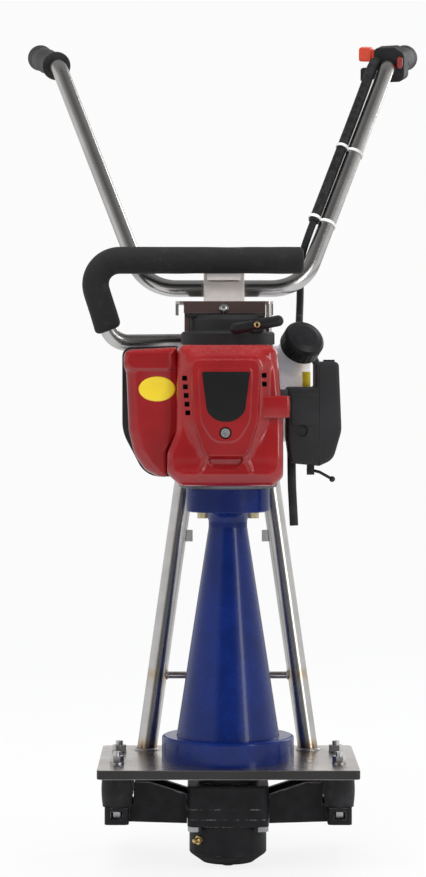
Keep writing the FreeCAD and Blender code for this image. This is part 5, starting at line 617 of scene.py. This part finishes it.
def nurbs(name, points, steps):
    """Curve of one open spline with those control points."""
    curve = bpy.data.curves.new(name, "CURVE")
    curve.dimensions = "3D"
    curve.resolution_u = steps
    spline = curve.splines.new("NURBS")
    spline.points.add(len(points) - 1)
    for control, point in zip(spline.points, points):
        control.co = tuple(point) + (1.0,)
    spline.order_u = 3
    spline.use_endpoint_u = True
    return curve


def smooth_line(name, points, steps=24):
    """Even points along a NURBS line with those control points."""
    curve = nurbs(name, points, steps)
    holder = bpy.data.objects.new(name, curve)
    mesh = bpy.data.meshes.new_from_object(holder)
    line = [v.co.copy() for v in mesh.vertices]
    bpy.data.objects.remove(holder)
    bpy.data.meshes.remove(mesh)
    bpy.data.curves.remove(curve)
    return line


def evenly(line, step):
    """Points a fixed step apart along a line."""
    result, left = [line[0]], step
    for here, there in zip(line, line[1:]):
        run = there - here
        length, used = run.length, 0.0
        while length - used >= left:
            used += left
            result.append(here + run * (used / length))
            left = step
        left -= length - used
    if (result[-1] - line[-1]).length > step * 0.3:
        result.append(line[-1])
    return result


def cord_curve(name, points, radius, finish, body):
    """Round cord as a curve of one open spline through the given control points."""
    curve = nurbs(name, points, 16)
    curve.bevel_depth = radius
    curve.bevel_resolution = 8
    curve.use_fill_caps = True
    made = added(name, curve)
    curve.materials.append(FINISHES[finish])
    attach(made, body)
    return made


# ---------------------------------------------------------------- camera
PHOTO_WIDTH, PHOTO_HEIGHT = 426, 877
EYE_PIXEL = (206.0, 350.0)
FOCAL_PIXELS = 2830.0
SENSOR = 36.0
camera_data = bpy.data.cameras.new("photo_view")
camera_data.sensor_width = SENSOR
camera_data.lens = SENSOR * FOCAL_PIXELS / PHOTO_HEIGHT
camera_data.shift_x = (PHOTO_WIDTH / 2 - EYE_PIXEL[0]) / PHOTO_HEIGHT
camera_data.shift_y = -(PHOTO_HEIGHT / 2 - EYE_PIXEL[1]) / PHOTO_HEIGHT
camera = added("photo_view", camera_data)
camera.location = (-0.0239, -3.188, 0.520)
camera.rotation_euler = (math.radians(90), 0, 0)
bpy.context.scene.camera = camera


# ---------------------------------------------------------------- cords
HOSE_POINTS = [(0.0686, -0.124, 0.409), (0.0688, -0.1244, 0.378), (0.0702, -0.1236, 0.353),
               (0.0714, -0.124, 0.33)]
hose = cord_curve("drain_hose", HOSE_POINTS, 0.0047, "hose_rubber", "frame")
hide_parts("breather_hose")

UPPER_POINTS = [(0.17959, 0.19821, 0.86482), (0.17459, 0.17924, 0.86092), (0.16018, 0.15744, 0.81947),
                (0.09983, 0.07262, 0.66747)]
LOOP_POINTS = [(0.09983, 0.07262, 0.66747), (0.09328, 0.06341, 0.65096), (0.086, 0.069, 0.628),
               (0.0845, 0.068, 0.604), (0.084, 0.054, 0.578), (0.0825, 0.036, 0.557)]
LOWER_POINTS = [(0.0825, 0.036, 0.557), (0.08115, 0.01975, 0.53805), (0.093, 0.003, 0.52),
                (0.103, -0.018, 0.499), (0.103, -0.048, 0.482), (0.098, -0.074, 0.462),
                (0.072, -0.074, 0.462)]
CONDUIT_PITCH, CABLE_R = 0.0026, 0.0042


def corrugated(distance, turn):
    """Radius of the split conduit: round ribs a pitch apart."""
    return 0.0057 + 0.0005 * math.cos(2 * math.pi * distance / CONDUIT_PITCH)


upper_line = evenly(smooth_line("upper_route", UPPER_POINTS, 40), CONDUIT_PITCH / 4)
conduit = piece("ribbed_conduit", *swept(upper_line, corrugated, 20), "conduit_plastic", "handle")
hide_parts("conduit_upper")
bight = piece("cable_bight", *swept(smooth_line("loop_route", LOOP_POINTS), lambda s, a: CABLE_R, 20),
              "conduit_plastic", None)
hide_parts("conduit_loop")
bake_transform(bight)
fall = piece("cable_fall", *swept(smooth_line("lower_route", LOWER_POINTS), lambda s, a: CABLE_R, 20),
             "conduit_plastic", "frame")
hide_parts("conduit_lower")


# ---------------------------------------------------------------- foam sleeve and grips
LIFT_POINTS = [(0.086, -0.002, 0.621), (-0.158, -0.002, 0.621), (-0.129, 0.002, 0.528),
               (-0.0264, 0.024, 0.529)]
LIFT_RADII = (0.027, 0.024)
FOAM_TURN = math.radians(10.0)


def foam_route():
    """Middle of the foam sleeve: along the lifting tube to a short way into its lower bend."""
    line = rounded_line(LIFT_POINTS, LIFT_RADII, 0.003)
    down = (Vector(LIFT_POINTS[2]) - Vector(LIFT_POINTS[1])).normalized()
    lower = Vector(LIFT_POINTS[2]).z + 0.04
    kept = [line[0]]
    for here, there in zip(line, line[1:]):
        if here.z < lower and (there - here).angle(down) > FOAM_TURN:
            break
        kept.append(there)
    return kept


foam_line = foam_route()
foam_length = sum((b - a).length for a, b in zip(foam_line, foam_line[1:]))


def foam_radius(distance, turn):
    """Foam sleeve: soft rims at its ends, a little pressed where hands hold it."""
    end = min(distance, foam_length - distance)
    rim = 0.0056
    drop = rim - math.sqrt(max(0.0, rim * rim - (rim - end) ** 2)) if end < rim else 0.0
    press = 0.0004 * math.exp(-((distance - 0.09) / 0.035) ** 2)
    wave = 0.00025 * noise.noise(Vector((distance * 40, math.cos(turn) * 1.4, math.sin(turn) * 1.4)))
    return 0.0152 - drop - press + wave


rim_steps = [0.0, 0.0002, 0.0006, 0.0012, 0.002, 0.003, 0.0042, 0.0056]
dense = evenly(foam_line, 0.0022)
start_run = (foam_line[1] - foam_line[0]).normalized()
end_run = (foam_line[-1] - foam_line[-2]).normalized()
foam_path = [foam_line[0] + start_run * s for s in rim_steps]
foam_path += [p for p in dense if 0.0066 < (p - foam_line[0]).length and 0.0066 < (p - foam_line[-1]).length]
foam_path += [foam_line[-1] - end_run * s for s in reversed(rim_steps)]
foam = piece("foam_sleeve", *swept(foam_path, foam_radius, 48), "foam", "frame")
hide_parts("lift_foam")


# ---------------------------------------------------------------- moulded covers
def placed(x, y, z):
    """Place in the model's frame of a point that is given from the drive axis, in millimetres."""
    return Vector((x / 1000, y / 1000 - 0.098, z / 1000 - 0.046))


def ramp(value, low, high):
    """0 up to low and 1 from high, smooth between them."""
    t = np.clip((value - low) / (high - low), 0.0, 1.0)
    return t * t * (3.0 - 2.0 * t)


def outline_points(corners, step):
    """Even points round a closed outline of (x, z, radius) corners, in millimetres."""
    line, count = [], len(corners)
    for i in range(count):
        before, here, after = (Vector(corners[(i + k) % count][:2]) for k in (-1, 0, 1))
        back, ahead = (before - here).normalized(), (after - here).normalized()
        half = back.angle(ahead) / 2
        radius = max(corners[i][2], 0.01)
        middle = here + (back + ahead).normalized() * (radius / math.sin(half))
        first = here + back * (radius / math.tan(half)) - middle
        last = here + ahead * (radius / math.tan(half)) - middle
        turn = first.angle_signed(last)
        steps = max(2, int(abs(turn) * radius / 0.5))
        start = math.atan2(first.y, first.x)
        angles = [start - turn * k / steps for k in range(steps + 1)]
        line += [middle + Vector((math.cos(angle), math.sin(angle))) * radius for angle in angles]
    line.append(line[0])
    runs = [(b - a).length for a, b in zip(line, line[1:])]
    even = int(sum(runs) / step)
    return np.array([
        [np.interp(sum(runs) * k / even, np.cumsum([0.0] + runs), [p[axis] for p in line]) for axis in (0, 1)]
        for k in range(even)])


def inside(x, z, outline):
    """Distance of points inside a closed outline, negative outside it."""
    nearest, crossings = np.full(x.shape, 1e9), np.zeros(x.shape, int)
    for (ax, az), (bx, bz) in zip(outline, np.roll(outline, -1, axis=0)):
        ux, uz = bx - ax, bz - az
        along = np.clip(((x - ax) * ux + (z - az) * uz) / (ux * ux + uz * uz), 0.0, 1.0)
        nearest = np.minimum(nearest, np.hypot(x - ax - ux * along, z - az - uz * along))
        if az != bz:
            crossings += ((az > z) != (bz > z)) & (x < ax + (z - az) * ux / uz)
    return np.where(crossings % 2 == 1, nearest, -nearest)


def shell_face(x, z, outline, front, relief, shoulder):
    """Depth of a moulded front at each point, with its rounded edge, from the drive axis."""
    radius = shoulder(x, z)
    deep = np.clip(radius - inside(x, z, outline), 0.0, radius)
    return front - relief(x, z) + radius - np.sqrt(np.maximum(radius * radius - deep * deep, 0.0))


def moulded_shell(name, corners, middle, front, back, wall, relief, shoulder):
    """Closed thin shell: a relief in front, side walls to the back, and the same again a wall inside."""
    outline = outline_points(corners, 1.0)
    count = len(outline)
    middle = np.array(middle)
    reach = np.hypot(*(outline - middle).T)
    verts, faces = [], []
    for inset, ring_count, side_count in ((0.0, 170, 10), (wall, 44, 6)):
        spread = 1.0 - inset / reach
        first = len(verts)
        tip = shell_face(middle[:1], middle[1:], outline, front, relief, shoulder)[0] + inset
        verts.append(placed(middle[0], tip, middle[1]))
        for k in range(1, ring_count + 1):
            flat = middle + (outline - middle) * math.sin(math.pi / 2 * k / ring_count)
            depth = shell_face(*flat.T, outline, front, relief, shoulder) + inset
            spot = middle + (flat - middle) * spread[:, None]
            verts += [placed(x, y, z) for (x, z), y in zip(spot, depth)]
        for k in range(1, side_count + 1):
            verts += [placed(x, y + (back - y) * k / side_count, z) for (x, z), y in zip(spot, depth)]
        faces += [(first, first + 1 + (k + 1) % count, first + 1 + k) for k in range(count)]
        last = first + 1 + (ring_count + side_count - 1) * count
        for row in range(first + 1, last, count):
            faces += band(row, row + count, count)
        if first:
            faces += band(outer, last, count)
        outer = last
    return piece(name, *joined(verts, faces), "red_plastic", "frame")


def box_cut(low, high):
    """Box between two points that are given from the drive axis."""
    mesh = bmesh.new()
    low, high = placed(*low), placed(*high)
    size = Matrix.Diagonal(tuple(high - low) + (1.0,))
    bmesh.ops.create_cube(mesh, size=1.0, matrix=Matrix.Translation((low + high) / 2) @ size)
    return mesh


def round_cut(start, end, radius):
    """Cylinder between two points that are given from the drive axis."""
    mesh = bmesh.new()
    start, end = placed(*start), placed(*end)
    along = end - start
    turn = along.to_track_quat("Z", "Y").to_matrix().to_4x4()
    bmesh.ops.create_cone(mesh, cap_ends=True, segments=64, radius1=radius / 1000, radius2=radius / 1000,
                          depth=along.length, matrix=Matrix.Translation((start + end) / 2) @ turn)
    return mesh


def cut_away(made, cuts):
    """Take the cutting shapes away from a piece and keep its smooth faces smooth."""
    tools = []
    for mesh in cuts:
        data = bpy.data.meshes.new("cut")
        mesh.to_mesh(data)
        mesh.free()
        tool = added("cut", data)
        change = made.modifiers.new("cut", "BOOLEAN")
        change.operation, change.solver, change.object = "DIFFERENCE", "MANIFOLD", tool
        tools.append(tool)
    bpy.context.view_layer.update()
    seen = made.evaluated_get(bpy.context.evaluated_depsgraph_get())
    mesh = bpy.data.meshes.new_from_object(seen)
    made.modifiers.clear()
    made.data = mesh
    mesh.name = made.name
    mesh.shade_smooth()
    mesh.set_sharp_from_angle(angle=math.radians(38.0))
    for tool in tools:
        data = tool.data
        bpy.data.objects.remove(tool)
        bpy.data.meshes.remove(data)


COVER_CORNERS = [
    (-54.0, 571.5, 9.0), (51.5, 571.5, 11.0), (54.0, 528.0, 30.0), (57.5, 500.0, 40.0), (57.5, 432.0, 8.0),
    (47.5, 422.5, 8.0), (-51.0, 422.5, 12.0), (-65.0, 435.5, 9.0), (-65.0, 457.0, 14.0), (-55.5, 480.0, 26.0)]
PANEL = outline_points([
    (-40.0, 556.0, 9.0), (33.5, 556.0, 9.0), (31.0, 492.0, 40.0), (19.5, 454.0, 12.0), (-25.5, 454.0, 12.0),
    (-37.5, 492.0, 40.0)], 2.0)
SUBPANEL = outline_points([
    (-32.5, 547.5, 5.0), (25.0, 547.5, 5.0), (22.5, 490.0, 30.0), (9.0, 469.0, 16.0), (-16.0, 469.0, 16.0),
    (-29.5, 490.0, 30.0)], 2.0)
SCOOP = outline_points([
    (-23.0, 453.0, 2.0), (17.0, 453.0, 2.0), (9.5, 441.5, 5.0), (-16.0, 441.5, 5.0)], 2.0)


def cover_relief(x, z):
    """Front of the cylinder cover: panel, slopes beside it, scoop and bumper. Forward, in millimetres."""
    panel = inside(x, z, PANEL)
    slope = 6.5 * ramp(-panel, 0.0, 13.0) * ramp(z, 452.0, 488.0)
    foot = 1.6 * ramp(-panel, 0.0, 8.0) * ramp(z, 488.0, 452.0)
    face = 3.2 * ramp(panel, -1.3, 1.3) + 0.8 * ramp(inside(x, z, SUBPANEL), -0.4, 0.8)
    scoop = 4.5 * ramp(inside(x, z, SCOOP), -0.8, 2.0)
    bumper = 2.4 * np.exp(-((z - 436.0) / 5.0) ** 2) * ramp(np.abs(x + 3.0), 56.0, 42.0)
    rise = z - 447.0
    legs = sum(1.8 * np.exp(-((x - foot_x - lean * rise) / 2.6) ** 2) * ramp(np.abs(rise), 12.0, 5.0)
               for foot_x, lean in ((-26.5, 0.35), (20.5, -0.35)))
    return face - slope - foot - scoop + bumper + legs


def cover_shoulder(x, z):
    """Radius of the rounded edge: wide at the top and bottom, narrower at the sides."""
    return 8.0 + 6.0 * ramp(z, 540.0, 560.0) + 5.0 * ramp(z, 446.0, 430.0)


LEFT_VENTS = [(-46.4 + 0.85 * i, 536.4 - 9.1 * i) for i in range(5)]
RIGHT_VENTS = [(37.2, 539.4), (37.4, 530.2)]
VENT_HALF = 2.6
MUFFLER_PIPE = ((-72.0, -80.0, 512.0), (-46.0, -80.0, 512.0), 12.5)
cover = moulded_shell("cylinder_cover", COVER_CORNERS, (0.0, 500.0), -120.0, -44.0, 2.6,
                      cover_relief, cover_shoulder)
cut_away(cover, [box_cut((x - VENT_HALF, -130.0, z - VENT_HALF), (x + VENT_HALF, -96.0, z + VENT_HALF))
                 for x, z in LEFT_VENTS + RIGHT_VENTS]
         + [round_cut((-3.5, -130.0, 479.0), (-3.5, -115.0, 479.0), 6.4),
            round_cut(*MUFFLER_PIPE),
            box_cut((50.0, -98.0, 494.0), (62.0, -43.0, 528.0)),
            round_cut((0.0, 0.0, 390.0), (0.0, 0.0, 572.0), 54.4)])
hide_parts("engine_cover")


def soft_block(low, high, radius, steps=6):
    """Vertices and faces of a block with rounded edges between two points from the drive axis."""
    low, high = Vector(low), Vector(high)
    middle, half = (low + high) / 2, (high - low) / 2
    core = Vector([max(0.0, h - radius) for h in half])
    turns = [math.tan(math.pi / 4 * k / steps) for k in range(-steps, steps + 1)]
    size = len(turns)
    verts, faces = [], []
    for axis, sign in ((a, s) for a in range(3) for s in (-1, 1)):
        faces += [(row, row + size, row + size + 1, row + 1)
                  for line in range(size - 1)
                  for row in range(len(verts) + line * size, len(verts) + line * size + size - 1)]
        for u, v in ((u, v) for u in turns for v in turns):
            spot = Vector((0, 0, 0))
            spot[axis], spot[(axis + 1) % 3], spot[(axis + 2) % 3] = sign, u, v
            verts.append(placed(*(middle + spot * core + spot.normalized() * radius)))
    return joined(verts, faces)


tab = piece("plug_tab", *soft_block((33.0, -119.4, 494.0), (64.8, -101.0, 518.4), 2.4),
            "red_plastic", "frame")
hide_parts("engine_cover")
# Black sheets just behind the vents, so that the vent holes read dark: painted shade.
for side, vents in (("left", LEFT_VENTS), ("right", RIGHT_VENTS)):
    across, heights = [x for x, z in vents], [z for x, z in vents]
    low = (min(across) - 4.0, -107.0, min(heights) - 4.0)
    high = (max(across) + 4.0, -105.6, max(heights) + 4.0)
    piece(side + "_vent_shade_sheet", *soft_block(low, high, 0.6, 2), "black_plastic", "frame")

MUFFLER_CORNERS = [
    (-111.0, 566.0, 8.0), (-54.4, 569.0, 2.0), (-54.4, 481.0, 10.0), (-65.8, 459.0, 9.0), (-65.8, 431.5, 2.0),
    (-75.0, 431.5, 8.0), (-88.5, 438.5, 14.0), (-100.0, 455.0, 24.0), (-106.0, 480.0, 40.0),
    (-108.5, 541.0, 6.0), (-111.0, 549.0, 6.0)]


def muffler_relief(x, z):
    """Front of the muffler cover: a hood above and a slightly hollow face. Forward, in millimetres."""
    hood = 1.8 * ramp(z, 543.5, 547.0)
    hollow = 0.8 * np.exp(-((x + 74.0) / 14.0) ** 2) * ramp(z, 545.0, 530.0)
    return hood - hollow - 3.0 * ramp(x, -66.0, -53.0)


def muffler_shoulder(x, z):
    """Radius of the rounded edge: wide on the free left side, narrow beside the cylinder cover."""
    return 2.0 + 11.0 * ramp(-x, 62.0, 84.0) * ramp(z, 556.0, 540.0) + 5.0 * ramp(z, 545.0, 560.0)


MUFFLER_FRONT = -96.0
muffler_shell = moulded_shell("muffler_shell", MUFFLER_CORNERS, (-83.0, 505.0), MUFFLER_FRONT, -22.0, 2.4,
                              muffler_relief, muffler_shoulder)
cut_away(muffler_shell, [round_cut(*MUFFLER_PIPE)])
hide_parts("muffler_cover")


# ---------------------------------------------------------------- small trim
BEAD_STEP, RIPPLE_PITCH = 0.0004, 0.0021


def ripple(distance, depth, seed):
    """Share by which a weld bead swells at a place along it."""
    wander = noise.noise(Vector((distance * 160, *seed)))
    return 1.0 + depth * abs(math.sin(math.pi * distance / RIPPLE_PITCH)) + 0.16 * wander


def weld_ring(name, centre, along, radius, bead):
    """Rippled weld bead round an axis."""
    across, up = side_axes(along)
    steps = max(24, int(2 * math.pi * radius / BEAD_STEP))
    turns = [2 * math.pi * k / steps for k in range(steps)]
    line = [centre + (across * math.cos(turn) + up * math.sin(turn)) * radius for turn in turns]

    def swelling(distance, turn):
        return bead * ripple(distance, 0.13, (radius * 900, 3.0))

    piece(name, *swept(line, swelling, 12, closed=True), "stainless", "frame")


def weld_run(name, start, end, bead):
    """Rippled straight weld bead between two points."""
    start, end = Vector(start), Vector(end)
    length = (end - start).length
    steps = int(length / BEAD_STEP)
    line = [start.lerp(end, k / steps) for k in range(steps + 1)]

    def swelling(distance, turn):
        tip = min(1.0, min(distance, length - distance) / 0.002 + 0.25)
        return bead * tip * ripple(distance, 0.14, (bead * 900, 5.0))

    piece(name, *swept(line, swelling, 12), "stainless", "frame")


TUBE_FOOT, TUBE_TOP = placed(90.0, 70.0, 120.6), placed(19.0, 128.0, 628.0)
BRACE_RISE, TUBE_SIDE = 0.0819, 0.0112
for side, sign in (("left", -1), ("right", 1)):
    mirror = Vector((sign, 1, 1))
    foot, top = TUBE_FOOT * mirror, TUBE_TOP * mirror
    weld_ring(side + "_foot_weld", foot, (0, 0, 1), 0.0118, 0.0017)
    along = (top - foot).normalized()
    brace_end = foot + along * (BRACE_RISE / along.z) - Vector((sign * TUBE_SIDE, 0, 0))
    weld_ring(side + "_brace_weld", brace_end, (1, 0, 0), 0.0043, 0.0012)

BLOCK_FOOT_Z, SADDLE_Y, SADDLE_FOOT_Z = 0.5734, 0.0146, 0.5988
weld_run("saddle_low_weld", (-0.0215, SADDLE_Y, SADDLE_FOOT_Z), (0.0145, SADDLE_Y, SADDLE_FOOT_Z), 0.0013)
weld_run("block_front_weld", (-0.0255, 0.0147, BLOCK_FOOT_Z), (0.0185, 0.0147, BLOCK_FOOT_Z), 0.0014)
for side, x in (("left", -0.0268), ("right", 0.0198)):
    weld_run("block_%s_weld" % side, (x, 0.0165, BLOCK_FOOT_Z), (x, 0.0575, BLOCK_FOOT_Z), 0.0014)

# Dark rubber strip that fills the see-through gap under the bridge lip: painted shade.
piece("bridge_shade_strip", *soft_block((-47.0, -21.6, 601.6), (39.0, -18.8, 607.0), 1.2, 3), "rubber", "frame")

# Profiles as (radius, depth towards the viewer), in metres.
BOLT_PROFILE = [(0.0, 0.0031), (0.0022, 0.003), (0.0038, 0.0023), (0.0043, 0.001), (0.0043, 0.0),
                (0.0052, 0.0), (0.0052, -0.0004), (0.0, -0.0004)]
FERRULE_PROFILE = [(0.0016, 0.0004), (0.0016, 0.0012), (0.0021, 0.0017), (0.0029, 0.0017), (0.0034, 0.0011),
                   (0.0036, 0.0), (0.0036, -0.003), (0.0, -0.003)]
GASKET_PROFILE = [(0.0049, 0.0), (0.005, 0.0006), (0.0055, 0.0009), (0.006, 0.0006), (0.0062, 0.0),
                  (0.0062, -0.003), (0.0049, -0.003), (0.0049, 0.0)]
piece("bridge_bolt", *turned(BOLT_PROFILE, placed(-4.5, -22.2, 611.0)), "stainless", "frame")
piece("pull_ferrule", *turned(FERRULE_PROFILE, (0.0305, -0.1676, 0.547)), "brass", "pull")

ROPE_IN, ROPE_OUT, ROPE_R = Vector((0.0305, -0.1, 0.547)), Vector((0.0305, -0.162, 0.547)), 0.002
ROPE_STEPS = 62
rope_line = [ROPE_IN.lerp(ROPE_OUT, k / ROPE_STEPS) for k in range(ROPE_STEPS + 1)]
pull_rope = piece("pull_rope", *swept(rope_line, lambda s, a: ROPE_R, 16), "rope", None)
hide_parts("starter_rope")
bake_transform(pull_rope)

piece("screw_gasket", *turned(GASKET_PROFILE, placed(-3.5, -119.6, 479.0)), "rubber", "frame")

OVAL_MIDDLE, OVAL_HALF_X, OVAL_HALF_Z = (-75.7, 524.7), 19.5, 13.2
OVAL_PROUD, OVAL_SUNK, OVAL_ROUNDING = 0.5, 0.4, 0.35


def oval_plate(rings=14, count=72):
    """Plain oval plate that lies on the curved face of the muffler cover."""
    spots = []
    for lift in (OVAL_PROUD, -OVAL_SUNK):
        for i in range(rings + 1):
            share = i / rings
            rim_drop = OVAL_ROUNDING if i == rings and lift > 0 else 0.0
            for k in range(count):
                turn = 2 * math.pi * k / count
                spots.append((OVAL_MIDDLE[0] + OVAL_HALF_X * share * math.cos(turn),
                              OVAL_MIDDLE[1] + OVAL_HALF_Z * share * math.sin(turn), lift - rim_drop))
    x, z, lifts = np.array(spots).T
    outline = outline_points(MUFFLER_CORNERS, 1.0)
    depths = shell_face(x, z, outline, MUFFLER_FRONT, muffler_relief, muffler_shoulder)
    verts = [placed(*spot) for spot in zip(x, depths - lifts, z)]
    rim, size = rings * count, (rings + 1) * count
    faces = band(rim, size + rim, count)
    for first in (0, size):
        for row in range(first, first + rim, count):
            faces += band(row, row + count, count)
    return joined(verts, faces)


piece("oval_plate", *oval_plate(), "yellow_plastic", "frame")


# ---------------------------------------------------------------- floor, light
def floor_finish():
    """Pale studio floor, lifted to the background's level for the camera."""
    f = new_finish("studio_floor")
    cloud = f.noise(1.6, 2.0, 0.5)
    tone = f.mix(cloud, 0.8, 0.84)
    matte = f.node("ShaderNodeBsdfDiffuse", inputs={"Color": tone})
    glow = f.node("ShaderNodeEmission", inputs={"Color": rgba(1.0), "Strength": 1.0})
    share = 0.94 - 0.09 * f.near((0.0, 0.0, 0.0), 5.0)
    mixed = f.node("ShaderNodeMixShader", inputs=[share, matte, glow])
    seen = f.node("ShaderNodeLightPath", output="Is Camera Ray")
    shader = f.node("ShaderNodeMixShader", inputs=[seen, matte, mixed])
    f.node("ShaderNodeOutputMaterial", inputs={"Surface": shader})
    return f.owner


def studio():
    """Round floor and four soft lamps."""
    low, reach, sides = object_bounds()[0][2], 14.0, 96
    verts = [(reach * math.cos(2 * math.pi * k / sides), reach * math.sin(2 * math.pi * k / sides), low)
             for k in range(sides)]
    faces = [tuple(range(sides))]
    mesh = bpy.data.meshes.new("studio_floor")
    mesh.from_pydata(verts, [], faces)
    floor = added("studio_floor", mesh)
    mesh.materials.append(floor_finish())
    floor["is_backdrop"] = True
    lamps = [
        ("key", (-0.9, -2.2, 2.6), (0, 0, 0.4), 1.5, 1.4, 40.0, False),
        ("fill", (2.0, -2.2, 1.4), (0, 0, 0.35), 0.5, 2.0, 20.0, True),
        ("top", (0.0, -0.1, 2.7), (0, 0, 0.4), 1.8, 1.2, 28.0, False),
        ("back", (1.6, 1.6, 1.5), (0, 0, 0.45), 0.6, 1.6, 14.0, True),
    ]
    for name, place, aim, width, height, watts, mirrored in lamps:
        data = bpy.data.lights.new(name, "AREA")
        data.shape = "RECTANGLE"
        data.size, data.size_y, data.energy = width, height, watts
        lamp = added(name, data)
        lamp.location = place
        lamp.visible_glossy = mirrored
        lamp.rotation_euler = (Vector(aim) - Vector(place)).to_track_quat("-Z", "Y").to_euler()


def sky():
    """Pale world: white behind the object, and a dimmer room in front that metal reflects."""
    world = bpy.data.worlds.new("studio")
    bpy.context.scene.world = world
    f = Finish(world)
    direction = f.node("ShaderNodeTexCoord", output="Generated")
    split = [f.node("ShaderNodeSeparateXYZ", inputs=[direction], output=i) for i in range(3)]
    front = f.between(split[1], 0.15, -0.75)
    bands = f.between(f.node("ShaderNodeMath", {"operation": "ABSOLUTE"}, [split[0]]), 0.62, 0.3)
    dark = front * bands
    ceiling = f.between(split[2], 0.2, 0.6)
    room = f.mix(ceiling * 0.75, f.mix(dark, 0.95, 0.1), 0.12)
    camera_ray, glossy_ray = (f.node("ShaderNodeLightPath", output="Is %s Ray" % kind)
                              for kind in ("Camera", "Glossy"))
    plain = f.node("ShaderNodeBackground", inputs={"Color": rgba((0.94, 0.96, 1.0)), "Strength": 0.55})
    shine = f.node("ShaderNodeBackground", inputs={"Color": room, "Strength": 0.95})
    white = f.node("ShaderNodeBackground", inputs={"Color": rgba(0.967), "Strength": 1.0})
    lit = f.node("ShaderNodeMixShader", inputs=[glossy_ray, plain, shine])
    shown = f.node("ShaderNodeMixShader", inputs=[camera_ray, lit, white])
    f.node("ShaderNodeOutputWorld", inputs={"Surface": shown})


studio()
sky()
bpy.context.scene.view_settings.view_transform = "Standard"
